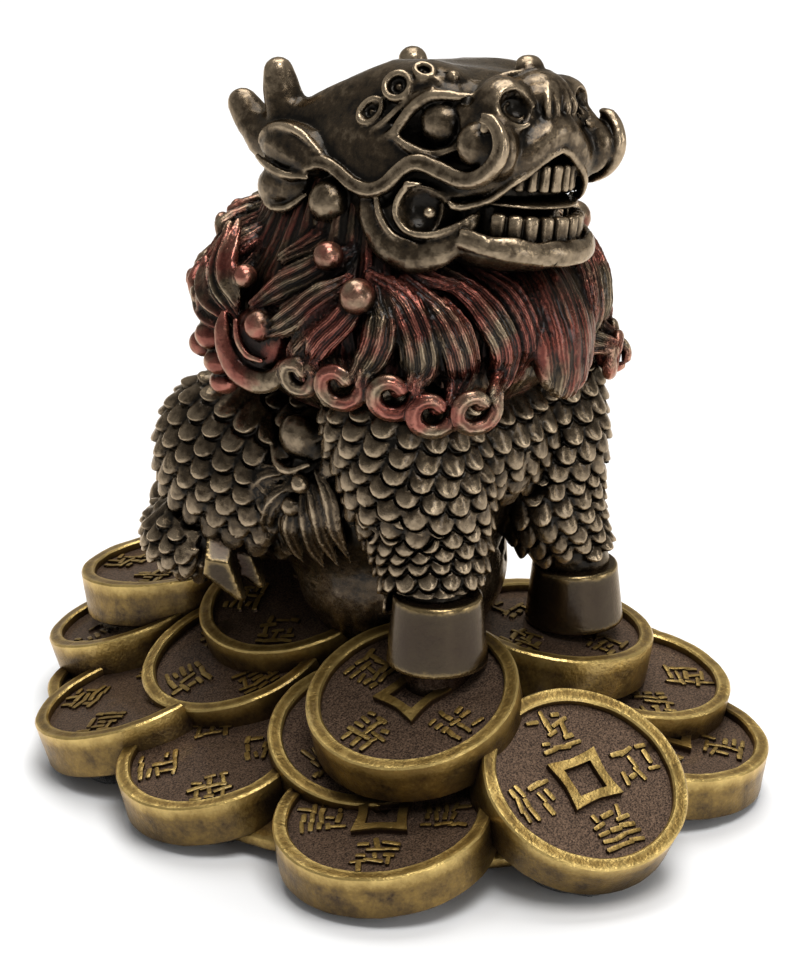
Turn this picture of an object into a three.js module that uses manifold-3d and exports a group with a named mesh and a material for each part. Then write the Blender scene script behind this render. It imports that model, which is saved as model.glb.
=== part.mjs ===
// A cold-cast bronze qilin sitting on a pile of cash coins, with a felt pad glued under it.
// Millimetres, +Z up. The animal looks along -Y and its own right side is on -X.
import * as THREE from 'three';
import { SimplifyModifier } from 'three/addons/modifiers/SimplifyModifier.js';
import { mergeVertices } from 'three/addons/utils/BufferGeometryUtils.js';
import Module from 'manifold-3d';

const wasm = await Module();
wasm.setup();

// Driving sizes
const coinThickness = 5.5;
const coinRim = 1.7;
const coinRecess = 1.0;
const coinSegments = 24;
const bossSize = 5.6;
const bossHole = 2.9;
const feltThickness = 1.0;
const gap = 0.3;
const legX = 13;
const maneCentre = [0, 0.5, 60];
const maneRadii = [22, 22.5, 12.5];
const facets = 9600;
const drawIn = 0.03;
const headPivot = [0, -4, 78];
const headYaw = -6;
const headRoll = 9;
// The middle of the pile's box in the plan, seen from the animal's own centre line
const pileMiddle = [-0.19, 1.32];

const degrees = Math.PI / 180;
const vector = (p) => new THREE.Vector3(...p);

// Helpers that turn three.js geometry into closed solids

function solidOf(geometry) {
  const bare = geometry.clone();
  bare.deleteAttribute('normal');
  bare.deleteAttribute('uv');
  const merged = mergeVertices(bare, 1e-4);
  const corners = merged.attributes.position;
  const triangles = new Uint32Array(merged.index.array);
  const a = new THREE.Vector3();
  const b = new THREE.Vector3();
  const c = new THREE.Vector3();
  let volume = 0;
  for (let i = 0; i < triangles.length; i += 3) {
    a.fromBufferAttribute(corners, triangles[i]);
    b.fromBufferAttribute(corners, triangles[i + 1]);
    c.fromBufferAttribute(corners, triangles[i + 2]);
    volume += a.dot(b.cross(c));
  }
  if (volume < 0) {
    for (let i = 0; i < triangles.length; i += 3) {
      [triangles[i + 1], triangles[i + 2]] = [triangles[i + 2], triangles[i + 1]];
    }
  }
  return new wasm.Manifold(new wasm.Mesh({
    numProp: 3,
    vertProperties: new Float32Array(corners.array),
    triVerts: triangles,
  }));
}

function geometryOf(solid) {
  const { vertProperties, triVerts } = solid.getMesh();
  const geometry = new THREE.BufferGeometry();
  geometry.setAttribute('position', new THREE.BufferAttribute(vertProperties, 3));
  geometry.setIndex(new THREE.BufferAttribute(triVerts, 1));
  return geometry;
}

// Fewer facets, without the slivers that the joins leave
async function thinned(solid, count) {
  const geometry = mergeVertices(geometryOf(solid), 1e-4);
  const spare = Math.max(0, (geometry.index.count / 3 - count) / 2);
  return solidOf(await new SimplifyModifier().modify(geometry, Math.floor(spare)));
}

// The outer skin of a solid, with any sealed hollow inside it filled
function outerSkin(solid) {
  return solid.decompose().reduce((best, shell) => (shell.volume() > best.volume() ? shell : best));
}

// Where two edges of a solid fall on one another, each is drawn in a little, so that no edge has four faces
function parted(solid) {
  const geometry = geometryOf(solid);
  geometry.computeVertexNormals();
  const corners = geometry.attributes.position;
  const normals = geometry.attributes.normal;
  const places = new Map();
  for (let i = 0; i < corners.count; i += 1) {
    const key = [corners.getX(i), corners.getY(i), corners.getZ(i)].map((v) => v.toFixed(3)).join();
    places.set(key, [...(places.get(key) ?? []), i]);
  }
  for (const alike of [...places.values()].filter((list) => list.length > 1)) {
    for (const i of alike) {
      corners.setXYZ(
        i,
        corners.getX(i) - drawIn * normals.getX(i),
        corners.getY(i) - drawIn * normals.getY(i),
        corners.getZ(i) - drawIn * normals.getZ(i),
      );
    }
  }
  return solidOf(geometry);
}

function joined(solids) {
  return solids.reduce((whole, next) => whole.add(next));
}

function placed(geometry, position, turn = [0, 0, 0]) {
  const euler = new THREE.Euler(...turn.map((t) => t * degrees), 'ZYX');
  const matrix = new THREE.Matrix4().makeRotationFromEuler(euler);
  matrix.setPosition(...position);
  return geometry.applyMatrix4(matrix);
}

// A ball or egg: centre, three radii and turns about x, y and z in degrees
function egg(centre, radii, { turn, across = 10, around = 14 } = {}) {
  const geometry = new THREE.SphereGeometry(1, around, across);
  geometry.rotateX(Math.PI / 2);
  geometry.scale(...radii);
  return solidOf(placed(geometry, centre, turn));
}

const bead = { across: 7, around: 10 };

// Width along a strand, from a short list of widths spread evenly over its length
function widthAt(widths, t) {
  const place = t * (widths.length - 1);
  const first = Math.min(Math.floor(place), widths.length - 2);
  return THREE.MathUtils.lerp(widths[first], widths[first + 1], place - first);
}

// A tapered strand along a smooth curve. flat squeezes it along the outward direction.
function strand(points, widths, { sides = 8, steps = 10, flat = 1, away = [0, 0, 1] } = {}) {
  const curve = new THREE.CatmullRomCurve3(points.map(vector), false, 'centripetal');
  const geometry = new THREE.CylinderGeometry(1, 1, 1, sides, steps);
  const corners = geometry.attributes.position;
  const middle = Array.isArray(away) ? null : away;
  for (let i = 0; i < corners.count; i += 1) {
    const t = corners.getY(i) + 0.5;
    const spot = curve.getPoint(t);
    const along = curve.getTangent(t);
    const out = middle ? middle(spot) : vector(away);
    out.addScaledVector(along, -out.dot(along)).normalize();
    const side = new THREE.Vector3().crossVectors(along, out);
    const width = widthAt(widths, t);
    spot.addScaledVector(side, corners.getX(i) * width);
    spot.addScaledVector(out, corners.getZ(i) * width * flat);
    corners.setXYZ(i, spot.x, spot.y, spot.z);
  }
  return solidOf(geometry);
}

const awayFrom = (centre) => (spot) => spot.clone().sub(vector(centre)).normalize();
const fromMane = awayFrom(maneCentre);

// Points that run from a root into a snail curl lying on the mane
function curlPath(root, centre, radius, side, turns = 1.1) {
  const middle = vector(centre);
  const out = fromMane(middle);
  const up = vector(root).sub(middle);
  up.addScaledVector(out, -up.dot(out)).normalize();
  const across = new THREE.Vector3().crossVectors(out, up).multiplyScalar(side);
  const path = [root];
  const count = 8;
  for (let i = 0; i <= count; i += 1) {
    const angle = (i / count) * turns * 2 * Math.PI;
    const reach = radius * (1 - 0.62 * (i / count));
    const spot = middle.clone();
    spot.addScaledVector(across, reach * Math.cos(angle));
    spot.addScaledVector(up, -reach * Math.sin(angle));
    spot.addScaledVector(out, 0.5 * (i / count));
    path.push(spot.toArray());
  }
  return path;
}

// One solid for each side of the animal: side is -1 for its right and 1 for its left
function pair(make) {
  return [make(-1), make(1)].flat();
}

function inHead(solid) {
  const turn = new THREE.Matrix4().makeRotationZ(headYaw * degrees);
  turn.multiply(new THREE.Matrix4().makeRotationY(headRoll * degrees));
  turn.setPosition(...headPivot);
  return solid.transform(turn.elements);
}

// Coins: x, y, z of the middle of the upper rim, radius, tilt, and where the face leans to
const coins = [
  { x: -23, y: 24.6, z: 10.5, r: 12.1, tilt: 21.4, lean: 127 },
  { x: -28.5, y: 6.2, z: 9.2, r: 11.4, tilt: 15.1, lean: 168 },
  { x: -14.4, y: 14.9, z: 15.0, r: 12.0, tilt: 20, lean: 164 },
  { x: -6.2, y: 12.5, z: 20.4, r: 12.1, tilt: 18, lean: 171 },
  { x: -14.5, y: 30.5, z: 7, r: 12, tilt: 6, lean: 120 },
  { x: -2.6, y: 36.4, z: 17.7, r: 11.7, tilt: 10, lean: 98 },
  { x: -7.9, y: 38.2, z: 12.0, r: 11.5, tilt: 19.3, lean: 117 },
  { x: -18, y: -15.8, z: 19.5, r: 12.4, tilt: 21.7, lean: -166, boss: true },
  { x: -11.4, y: -36, z: 12.4, r: 12.2, tilt: 33.7, lean: -113, boss: true },
  { x: -27.6, y: -19.5, z: 9.0, r: 12.6, tilt: 11.9, lean: -175, boss: true },
  { x: -18.3, y: -10, z: 13.1, r: 12.1, tilt: 20.4, lean: -147 },
  { x: 12.3, y: -30.5, z: 8.3, r: 12.1, tilt: 8.9, lean: -73, boss: true },
  { x: 16.9, y: -22.3, z: 12.2, r: 11.6, tilt: 10.9, lean: -75 },
  { x: 10.4, y: -14.6, z: 18.8, r: 12.1, tilt: 8.4, lean: -50 },
  { x: 27.5, y: -8, z: 9.2, r: 12.1, tilt: 14, lean: -15, boss: true },
  { x: 28, y: 9.5, z: 8.6, r: 11.8, tilt: 12, lean: 20, boss: true },
  { x: 23.5, y: 25.5, z: 9.6, r: 12, tilt: 17, lean: 45, boss: true },
  { x: 10.5, y: 35.5, z: 10.4, r: 12, tilt: 16, lean: 75 },
  { x: 18.5, y: -1, z: 14.2, r: 12, tilt: 18, lean: -10 },
  { x: 17, y: 14.5, z: 14.6, r: 12, tilt: 16, lean: 30 },
  { x: 8, y: 25.5, z: 16.6, r: 11.8, tilt: 14, lean: 60 },
  { x: 7.5, y: 13.2, z: 19.4, r: 12, tilt: 12, lean: 20 },
];

function coinSolid({ x, y, z, r, tilt, lean, boss }) {
  const profile = [
    [0, -coinThickness],
    [r, -coinThickness],
    [r, 0],
    [r - coinRim, 0],
    [r - coinRim - 0.3, -coinRecess],
    [0, -coinRecess],
  ];
  const points = profile.map(([px, py]) => new THREE.Vector2(px, py));
  const bodies = [new THREE.LatheGeometry(points, coinSegments)];
  if (boss) {
    const square = [
      [bossHole / Math.SQRT2, -coinRecess - 0.3],
      [bossSize / Math.SQRT2, -coinRecess - 0.3],
      [bossSize / Math.SQRT2, -0.2],
      [bossHole / Math.SQRT2, -0.2],
      [bossHole / Math.SQRT2, -coinRecess - 0.3],
    ];
    bodies.push(new THREE.LatheGeometry(square.map(([px, py]) => new THREE.Vector2(px, py)), 4));
  }
  const towards = new THREE.Vector3(
    Math.sin(tilt * degrees) * Math.cos(lean * degrees),
    Math.sin(tilt * degrees) * Math.sin(lean * degrees),
    Math.cos(tilt * degrees),
  );
  const turn = new THREE.Quaternion().setFromUnitVectors(new THREE.Vector3(0, 1, 0), towards);
  return bodies.map((geometry) => {
    geometry.applyQuaternion(turn);
    geometry.translate(x, y, z);
    return solidOf(geometry);
  });
}

// The low mound that the coins lean on, hidden under them
function mound() {
  const profile = [[0, -2], [33, -2], [33, 3], [26, 7], [15, 13], [0, 16]];
  const geometry = new THREE.LatheGeometry(profile.map(([px, py]) => new THREE.Vector2(px, py)), 20);
  geometry.rotateX(Math.PI / 2);
  geometry.scale(1, 1.12, 1);
  geometry.translate(0, 1, 0);
  return solidOf(geometry);
}

// Body, legs and feet

function torso() {
  return [
    egg([0, -5.5, 45], [17, 12.5, 11]),
    egg([0, 4, 38], [16.5, 17.5, 16]),
    egg([0, 16.5, 37], [13, 13.5, 15.5]),
    egg([0, 1, 26], [13, 13, 12]),
  ];
}

function foreleg(side) {
  const leg = [[11, -8.5, 49], [10.6, -10.5, 42], [10.5, -12.2, 35], [12, -13.8, 29.5], [legX, -15.2, 25.5]];
  const hoof = [[legX, -15.6, 18.6], [legX, -15.4, 26.4]];
  return [
    strand(leg.map(([x, y, z]) => [side * x, y, z]), [8.8, 8.4, 6.7, 5.3, 4.9],
      { sides: 12, away: [0, -1, 0] }),
    strand(hoof.map(([x, y, z]) => [side * x, y, z]), [5.7, 5.1], { sides: 14, steps: 2, away: [0, -1, 0] }),
  ];
}

function hindLeg(side) {
  const shin = [[12.5, 26, 27.5], [15, 21.5, 28], [16, 16, 29], [15.8, 12.5, 27]];
  const toe = [[14.6, 15, 28.5], [15, 12.4, 26.5], [14.8, 11.2, 20.6]];
  return [
    egg([side * 12.4, 15.5, 38], [7, 11.6, 11.2], { turn: [12, 0, 0] }),
    strand(shin.map(([x, y, z]) => [side * x, y, z]), [3.6, 5, 4.6, 3.4]),
    ...[-1.7, 1.9].map((apart) => strand(toe.map(([x, y, z]) => [side * x + apart, y, z]),
      [2.4, 3, 1.1], { sides: 8, steps: 5, away: [0, -1, 0] })),
  ];
}

// The tuft of leaf-shaped locks on each flank, under a small roundel
function flankTuft(side) {
  const solids = [egg([side * 17.4, 0.8, 46.5], [2.9, 3.4, 3.2], bead)];
  const count = 6;
  for (let i = 0; i < count; i += 1) {
    const spread = i / (count - 1) - 0.5;
    const root = [side * 17, 1 + spread * 4, 43.5];
    const tip = [side * (15.4 - 2 * Math.abs(spread)), 1.5 + spread * 15, 31.5 - 5 * Math.abs(spread)];
    const bend = [side * 18, (root[1] + tip[1]) / 2, (root[2] + tip[2]) / 2];
    solids.push(strand([root, bend, tip], [1.6, 2.3, 0.5], { sides: 6, steps: 5, away: [side, 0, 0] }));
  }
  return solids;
}

// A plume of five locks lying up the rump, with a bead at each outer lock's end
function tail() {
  const solids = [];
  for (let i = -2; i <= 2; i += 1) {
    const lean = Math.abs(i);
    const path = [[i * 1.2, 28, 22], [i * 3.2, 31, 31], [i * 2.8, 29.6, 40], [i * 3.8, 25.5 - lean, 48 - lean]];
    solids.push(strand(path, [2.6, 3.1, 2.7, 1], { away: [0, 1, 0.2] }));
  }
  return [...solids, ...pair((side) => egg([side * 10, 29.8, 29.8], [2.4, 2.2, 2.4], bead))];
}

// Mane: a collar of locks. Each front lock has a root, the middle of its curl and the curl's radius.
// The places are for the right side.
const curledLocks = [
  { root: [-16.8, -6.6, 66], curl: [-21.6, -8.2, 56.9], radius: 2.3, width: 2.3, wind: 1 },
  { root: [-14.8, -9.8, 65.4], curl: [-18.9, -13.6, 56.4], radius: 2.1, width: 2.3, wind: 1 },
  { root: [-12, -13, 65], curl: [-16, -17, 53.6], radius: 2, width: 2.2, wind: 1 },
  { root: [-8.4, -15.6, 65], curl: [-12, -20.8, 53.8], radius: 2, width: 2.2, wind: 1 },
  { root: [-19, -6, 67.5], curl: [-22.8, -2.8, 57.2], radius: 1.5, width: 1.9, wind: -1 },
  { root: [-18.6, -4.5, 69], curl: [-23.4, 1.6, 59], radius: 3.8, width: 2.4, wind: -1 },
  { root: [-18, -2.5, 70.5], curl: [-21.4, 5.4, 65.3], radius: 1.5, width: 2.1, wind: 1 },
  { root: [-15.5, -1, 72], curl: [-17.6, 7.8, 71], radius: 1.7, width: 2, wind: 1 },
];

function curledLock(side, { root, curl, radius, width, wind }) {
  const mirror = ([x, y, z]) => [-side * x, y, z];
  const path = curlPath(mirror(root), mirror(curl), radius, wind * side);
  return [
    strand(path, [1, width, 1.7, 1.1, 1.1, 1.1, 1], { sides: 6, steps: 16, away: fromMane }),
    egg(mirror(curl), [1.2, 1.2, 1.2], bead),
  ];
}

// A plain leaf lock beside the beard, three ribbed leaves behind the ear, and the lumps under them
function sideLeaves(side) {
  const mirror = ([x, y, z]) => [-side * x, y, z];
  const leaves = [
    [[-5.2, -18.5, 66], [-6.8, -21.6, 60], [-7.2, -22.6, 53]],
    [[-21.6, 4.5, 59], [-22.6, 7.6, 64], [-19.4, 8.6, 70]],
    [[-20, 8.2, 57.5], [-21, 11, 63], [-17.6, 12.2, 68.6]],
    [[-17.6, 12, 57], [-18.4, 14.8, 62], [-15, 16, 67]],
  ];
  const lumps = [[-20.6, 12, 57.4], [-20.8, 9.6, 54.6], [-19.8, 10.6, 51.8]];
  return [
    ...leaves.map((path) => strand(path.map(mirror), [1.6, 2.7, 1], { sides: 6, steps: 6, away: fromMane })),
    ...lumps.map((spot) => egg(mirror(spot), [2.6, 2.6, 2], bead)),
  ];
}

// Two rows of hanging leaf locks round the nape, the lower ones ending in small knobs
function napeLocks() {
  const solids = [];
  const rows = [{ top: 66, foot: 52, reach: 20.6, count: 7 }, { top: 71, foot: 62, reach: 18, count: 6 }];
  rows.forEach(({ top, foot, reach, count }, row) => {
    for (let i = 0; i < count; i += 1) {
      const angle = (90 + (i - (count - 1) / 2) * 17) * degrees;
      const spot = (radius, height) => [radius * Math.cos(angle), 0.5 + radius * Math.sin(angle), height];
      const path = [spot(reach - 6.5, top), spot(reach, top - 3.5), spot(reach + 1.6, (top + foot) / 2), spot(reach, foot)];
      solids.push(strand(path, [1.4, 2.6, 3, 1.2], { sides: 6, steps: 7, flat: 0.8, away: fromMane }));
      if (row === 0) {
        solids.push(egg(spot(reach, foot - 0.8), [2.2, 2.2, 2], bead));
      }
    }
  });
  return solids;
}

function mane() {
  return [
    egg(maneCentre, maneRadii, { around: 24, across: 12 }),
    egg([0, -1.5, 68], [15.5, 15.5, 9]),
    ...curledLocks.flatMap((lock) => pair((side) => curledLock(side, lock))),
    ...pair(sideLeaves),
    ...napeLocks(),
  ];
}

function beard() {
  const solids = [];
  for (let i = -2; i <= 2; i += 1) {
    const path = [[i * 1.7, -17.5, 68], [i * 1.9, -21.6, 62.5], [i * 1.3, -23.2, 57], [i * 0.3, -23.2, 52.6]];
    solids.push(strand(path, [1.5, 1.9, 1.5, 0.5], { sides: 6, steps: 6, away: [0, -1, 0] }));
  }
  return solids;
}

// Head, in its own frame: the pivot is between the ears and the nose looks along -y

const headSolids = () => [
  egg([0, -0.5, 0.5], [12, 13, 9.5]),
  egg([0, -11.5, 4.5], [9.4, 7.6, 6]),
  egg([0, -8, 7.5], [4.5, 7, 3.6]),
  egg([0, -13, -8.5], [9.6, 8.2, 3.6]),
  egg([0, -9, -2.5], [9.4, 8, 6]),
  ...pair((side) => egg([side * 9, -4, -5.5], [4, 8.4, 6.5])),
  ...nose(),
  ...pair(brow),
  ...pair(moustache),
  ...pair(upperLip),
  ...pair(jawRing),
  ...pair(ear),
  ...pair(horn),
  lowerLip(),
  tongue(),
];

function nose() {
  return [
    egg([0, -15.2, 9.2], [3.2, 3.2, 2.9]),
    ...pair((side) => {
      const ring = new THREE.TorusGeometry(1.7, 0.75, 6, 14);
      return [
        egg([side * 4.2, -14.2, 8.4], [2.8, 2.6, 2.5]),
        solidOf(placed(ring, [side * 4.9, -16.1, 8.2], [90, 0, side * 28])),
      ];
    }),
  ];
}

function brow(side) {
  const lid = [[6, -11, 6.6], [8, -8.6, 7.6], [9.9, -5, 5.6], [10.8, -2.5, 2.6]];
  const mirror = ([x, y, z]) => [side * x, y, z];
  const scrolls = [[9.6, -2.6, 7.4, 1.5], [7.6, -3.9, 9.4, 1.3], [5.6, -7.2, 9.3, 1.3], [11, -0.4, 4.1, 1.3]];
  return [
    egg(mirror([5.2, -1.6, 7]), [5, 8.6, 4.2], { turn: [-6, 0, side * 8] }),
    strand(lid.map(mirror), [1, 1.4, 1.4, 0.8], { sides: 6, steps: 8, away: [side, 0, 0.6] }),
    egg(mirror([7.6, -7.4, 4.4]), [2.6, 2.6, 2.4], bead),
    egg(mirror([8.4, -13.4, 4.2]), [2.4, 2.4, 2.2], bead),
    ...scrolls.map(([x, y, z, r]) => egg(mirror([x, y, z]), [r, r, r], bead)),
  ];
}

// The whisker: a rolled ridge from beside the nose, under the cheek knob and back in a wave to the ear
function moustache(side) {
  const path = [
    [8.6, -15.8, 6.6], [9.6, -17.4, 4.8], [9.8, -17.0, 1.8], [10.2, -13.8, 0], [10.8, -10.4, 1.2],
    [11.7, -6.8, -0.4], [12.6, -3, -3.2], [13, 1, -3], [13.2, 3.2, -1.8], [13.6, 7, -4.2],
  ];
  return strand(path.map(([x, y, z]) => [side * x, y, z]), [0.8, 1.3, 1.3, 1.3, 1, 1, 0.9],
    { sides: 6, steps: 26, away: [side, 0, 0.2] });
}

function upperLip(side) {
  const path = [[0, -18.2, 4], [3.2, -18.8, 2.2], [6.2, -18, 0.2], [9, -16.4, -2], [11, -13.8, -3.4], [12, -11, -1.6]];
  return strand(path.map(([x, y, z]) => [side * x, y, z]), [1.1, 1.2, 1.1, 1, 0.9],
    { sides: 6, steps: 12, away: [side, -1, 0] });
}

// The rolled corner of the jaw, an open ring with a small knob in its hollow
function jawRing(side) {
  const path = [];
  const count = 9;
  for (let i = 0; i <= count; i += 1) {
    const angle = (60 + 300 * (i / count)) * degrees;
    path.push([side * (11.4 - Math.sin(angle)), -11 - 5.4 * Math.cos(angle), -5.2 + 4.6 * Math.sin(angle)]);
  }
  return [
    strand(path, [1, 1.5, 1.9, 2.1, 1.9, 1.4], { steps: 18, away: [side, 0, 0] }),
    egg([side * 11, -11.6, -4.8], [1.6, 1.4, 1.4], bead),
  ];
}

function lowerLip() {
  const path = [];
  const count = 10;
  for (let i = 0; i <= count; i += 1) {
    const angle = (180 + 180 * (i / count)) * degrees;
    path.push([10.2 * Math.cos(angle), -13 + 8.6 * Math.sin(angle), -7.3 - 0.5 * Math.sin(angle)]);
  }
  return strand(path, [0.9, 1.5, 1.6, 1.5, 0.9], { steps: 18 });
}

function tongue() {
  return egg([0, -13, -2.4], [7.6, 7.2, 1.3], { across: 6, around: 14 });
}

// Two rows of small teeth round the front of the mouth, each standing half out of its gum
function teeth() {
  const solids = [];
  const rows = [
    { count: 9, height: 3.2, middle: 0.6, reach: 6.4, back: -12.4 },
    { count: 11, height: 3.2, middle: -4.6, reach: 7.4, back: -13 },
  ];
  rows.forEach(({ count, height, middle, reach, back }) => {
    const gum = new THREE.CylinderGeometry(reach + 0.1, reach + 0.1, height - 0.4, 28);
    solids.push(solidOf(placed(gum, [0, back, middle], [90, 0, 0])));
    for (let i = 0; i < count; i += 1) {
      const angle = -90 + (i - (count - 1) / 2) * 16;
      const tooth = new THREE.BoxGeometry(1.4, 1.9, height);
      const spot = [reach * Math.cos(angle * degrees), back + reach * Math.sin(angle * degrees), middle];
      solids.push(solidOf(placed(tooth, spot, [0, 0, angle + 90])));
    }
  });
  return solids;
}

// A shell-shaped ear with three ribs
function ear(side) {
  const mirror = ([x, y, z]) => [side * x, y, z];
  const solids = [egg(mirror([12.2, 10.6, -4]), [2.6, 5, 5.2], { turn: [-12, 0, 0] })];
  for (let i = -1; i <= 1; i += 1) {
    const path = [[13.6, 7 + i, -2 + i * 1.6], [15, 10, -3 + i * 2.8], [13.6, 13.8, -4.6 + i * 2.4]];
    solids.push(strand(path.map(mirror), [0.9, 1.4, 0.7], { sides: 6, steps: 5, away: [side, 0, 0] }));
  }
  solids.push(egg(mirror([13.2, 2.2, -6]), [2.2, 2.2, 2.2], bead));
  return solids;
}

function horn(side) {
  const mirror = ([x, y, z]) => [side * x, y, z];
  const trunk = [[5.5, 1.5, 5.8], [7.8, 8, 2.2], [9.4, 13.2, -1], [10, 17, -2.4]];
  const front = [[9.4, 12.4, 0], [10.4, 14.2, 4.4], [11, 15.3, 8]];
  const rear = [[9.6, 14.5, -2], [9.8, 18.8, -1.2], [10, 21.6, 0.8]];
  return [
    strand(trunk.map(mirror), [3.8, 3.5, 3, 2.2]),
    strand(front.map(mirror), [2.6, 2.4, 2.2, 2, 1.4], { steps: 6, away: [0, -1, 0] }),
    strand(rear.map(mirror), [2.5, 2.5, 2.3, 2.1, 1.4], { steps: 6 }),
  ];
}

// The beads that stand between the jaw and the mane
function beads(side) {
  return [[-15.2, -1.7, 74.2], [-17.4, -4.6, 69.8], [-18.6, -9, 65.8]].map(([x, y, z]) =>
    egg([-side * x, y, z], [2, 2, 2], bead));
}

// One casting, cut flat just above the felt. The teeth go on last, so that thinning leaves them whole.
async function casting() {
  const rough = joined([
    mound(),
    ...coins.flatMap(coinSolid),
    ...torso(),
    ...pair(foreleg),
    ...pair(hindLeg),
    ...pair(flankTuft),
    ...tail(),
    ...mane(),
    ...beard(),
    ...pair(beads),
    ...headSolids().map(inHead),
  ]);
  const below = new THREE.BoxGeometry(200, 200, 20);
  below.translate(0, 0, feltThickness + gap - 10);
  const smooth = await thinned(rough, facets);
  return outerSkin(parted(joined([smooth, ...teeth().map(inHead)]).subtract(solidOf(below))));
}

// The felt follows the foot of the pile: one round patch under each low coin
function feltPad() {
  const patches = coins.filter(({ z }) => z < 13).map(({ x, y, r, tilt, lean }) => {
    const drop = coinThickness * Math.sin(tilt * degrees);
    const outline = new THREE.Shape();
    const reach = 0.985;
    outline.absarc(
      reach * (x - drop * Math.cos(lean * degrees)),
      reach * (y - drop * Math.sin(lean * degrees)),
      r - 1.8, 0, 2 * Math.PI,
    );
    return new THREE.ExtrudeGeometry(outline, { depth: feltThickness, bevelEnabled: false, curveSegments: 10 });
  });
  const heart = new THREE.Shape();
  heart.absarc(0, 0, 30, 0, 2 * Math.PI);
  patches.push(new THREE.ExtrudeGeometry(heart, { depth: feltThickness, bevelEnabled: false, curveSegments: 10 }));
  return joined(patches.map(solidOf));
}

function meshOf(name, solid, look) {
  const geometry = geometryOf(solid);
  geometry.computeVertexNormals();
  const mesh = new THREE.Mesh(geometry, new THREE.MeshStandardMaterial(look));
  mesh.name = name;
  return mesh;
}

const figure = new THREE.Group();
figure.add(meshOf('qilin_on_coins', await casting(), { color: 0x4a3f30, roughness: 0.38, metalness: 0.85 }));
figure.add(meshOf('felt_pad', feltPad(), { color: 0x141312, roughness: 1, metalness: 0 }));
figure.children.forEach((mesh) => mesh.position.set(-pileMiddle[0], -pileMiddle[1], 0));

export default figure;
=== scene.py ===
# A bronzed qilin figurine on a pile of cash coins, sculpted around its frame.
# The animal is worked like clay on an even grid and each finished form becomes one mesh.
# Sculpting is done in millimetres in the animal's own frame: it looks along -Y, its right side is on -X.
import math
from copy import copy

import bpy
import numpy as np
import openvdb
from bpy.props import FloatProperty, FloatVectorProperty, PointerProperty
from mathutils import Matrix, Vector


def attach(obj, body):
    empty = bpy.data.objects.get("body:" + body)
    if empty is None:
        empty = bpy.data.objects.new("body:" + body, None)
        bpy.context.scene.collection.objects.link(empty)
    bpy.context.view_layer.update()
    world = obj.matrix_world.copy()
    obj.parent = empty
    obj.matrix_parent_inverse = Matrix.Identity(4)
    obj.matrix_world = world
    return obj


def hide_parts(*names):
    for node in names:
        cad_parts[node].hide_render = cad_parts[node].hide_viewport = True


bl_info = {
    "name": "Qilin figurine on coins",
    "version": (1, 0, 0),
    "blender": (4, 5, 0),
    "location": "3D View > Sidebar > Qilin",
    "description": "Sculpts a cast qilin on a pile of cash coins around its frame",
    "category": "Object",
}

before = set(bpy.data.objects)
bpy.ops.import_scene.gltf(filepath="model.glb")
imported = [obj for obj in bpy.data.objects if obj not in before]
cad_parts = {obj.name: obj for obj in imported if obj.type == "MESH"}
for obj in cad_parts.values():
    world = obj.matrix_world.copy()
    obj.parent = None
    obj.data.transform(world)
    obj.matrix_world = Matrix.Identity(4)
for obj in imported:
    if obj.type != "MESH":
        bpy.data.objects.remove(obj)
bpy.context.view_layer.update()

MM = 0.001
CASTING = "qilin_on_coins"
FELT = "felt_pad"
BODY = "root"
# The middle of the pile's outline in the plan, in the animal's own frame
PILE_MIDDLE = np.array((-0.19, 1.32, 0.0))
# Distance given to the points of a grid that no form has reached
AIR = 3.0
# Cells kept free round a form
MARGIN = 2.5
# A piece stays under this many triangles
MOST_TRIANGLES = 195000
# How far round a point its wear is judged, and how strongly: for sharp edges and for whole forms. The
# whole-form part darkens broad hollows with patina and painted shade
EDGE_REACH, EDGE_WEAR = 0.45, 4.8
FORM_REACH, FORM_WEAR_AND_SHADE = 1.3, 1.6
WEAR_POWER = 1.25
# A scale of the coat: how far it is arched and rooted, and the gap cut round it
SCALE_CROWN = 0.42
SCALE_ROOT = 1.4
GAP_WIDTH = 0.3
GAP_DEPTH = 0.25
GAP_TOP = 2.2

HEAD_PIVOT = (0.0, -4.0, 78.0)
HEAD_YAW = math.radians(-6)
HEAD_ROLL = math.radians(9)
# The mane's middle, its reach to the side, how much further it reaches ahead, and half its height
MANE_MIDDLE = np.array((0.0, 0.5, 60.0))
MANE_REACH = 22.2
MANE_STRETCH = 1.02
MANE_HALF_HEIGHT = 12.8
LEG_X = 13.0

IMAGE_WIDTH = 805
IMAGE_HEIGHT = 964


# Clay: a grid of distances outside a surface, and the forms that are pressed on it


def weld(old, new, blend):
    """The union of two forms, rounded where they meet."""
    if blend <= 0:
        return np.minimum(old, new)
    overlap = np.maximum(blend - np.abs(old - new), 0) / blend
    return np.minimum(old, new) - overlap * overlap * blend / 4


def blurred(field, reach):
    """A field smoothed twice by a box of 2 * reach + 1 cells."""
    for _ in range(2):
        for axis in range(3):
            pad = [(0, 0)] * 3
            pad[axis] = (reach + 1, reach)
            total = np.cumsum(np.pad(field, pad, mode="edge"), axis=axis, dtype=np.float64)
            high = np.take(total, range(2 * reach + 1, total.shape[axis]), axis=axis)
            low = np.take(total, range(0, total.shape[axis] - 2 * reach - 1), axis=axis)
            field = ((high - low) / (2 * reach + 1)).astype(np.float32)
    return field


def sampled(field, places):
    """The values of a grid at places between its points, given in cells."""
    top = np.array(field.shape) - 2
    places = np.clip(places, 0, top + 0.999)
    first = places.astype(int)
    part = (places - first).astype(np.float32)
    value = np.zeros(len(places), np.float32)
    for corner in range(8):
        step = np.array([corner >> 2 & 1, corner >> 1 & 1, corner & 1])
        weight = np.prod(np.where(step, part, 1 - part), axis=1)
        cell = first + step
        value += weight * field[cell[:, 0], cell[:, 1], cell[:, 2]]
    return value


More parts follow.
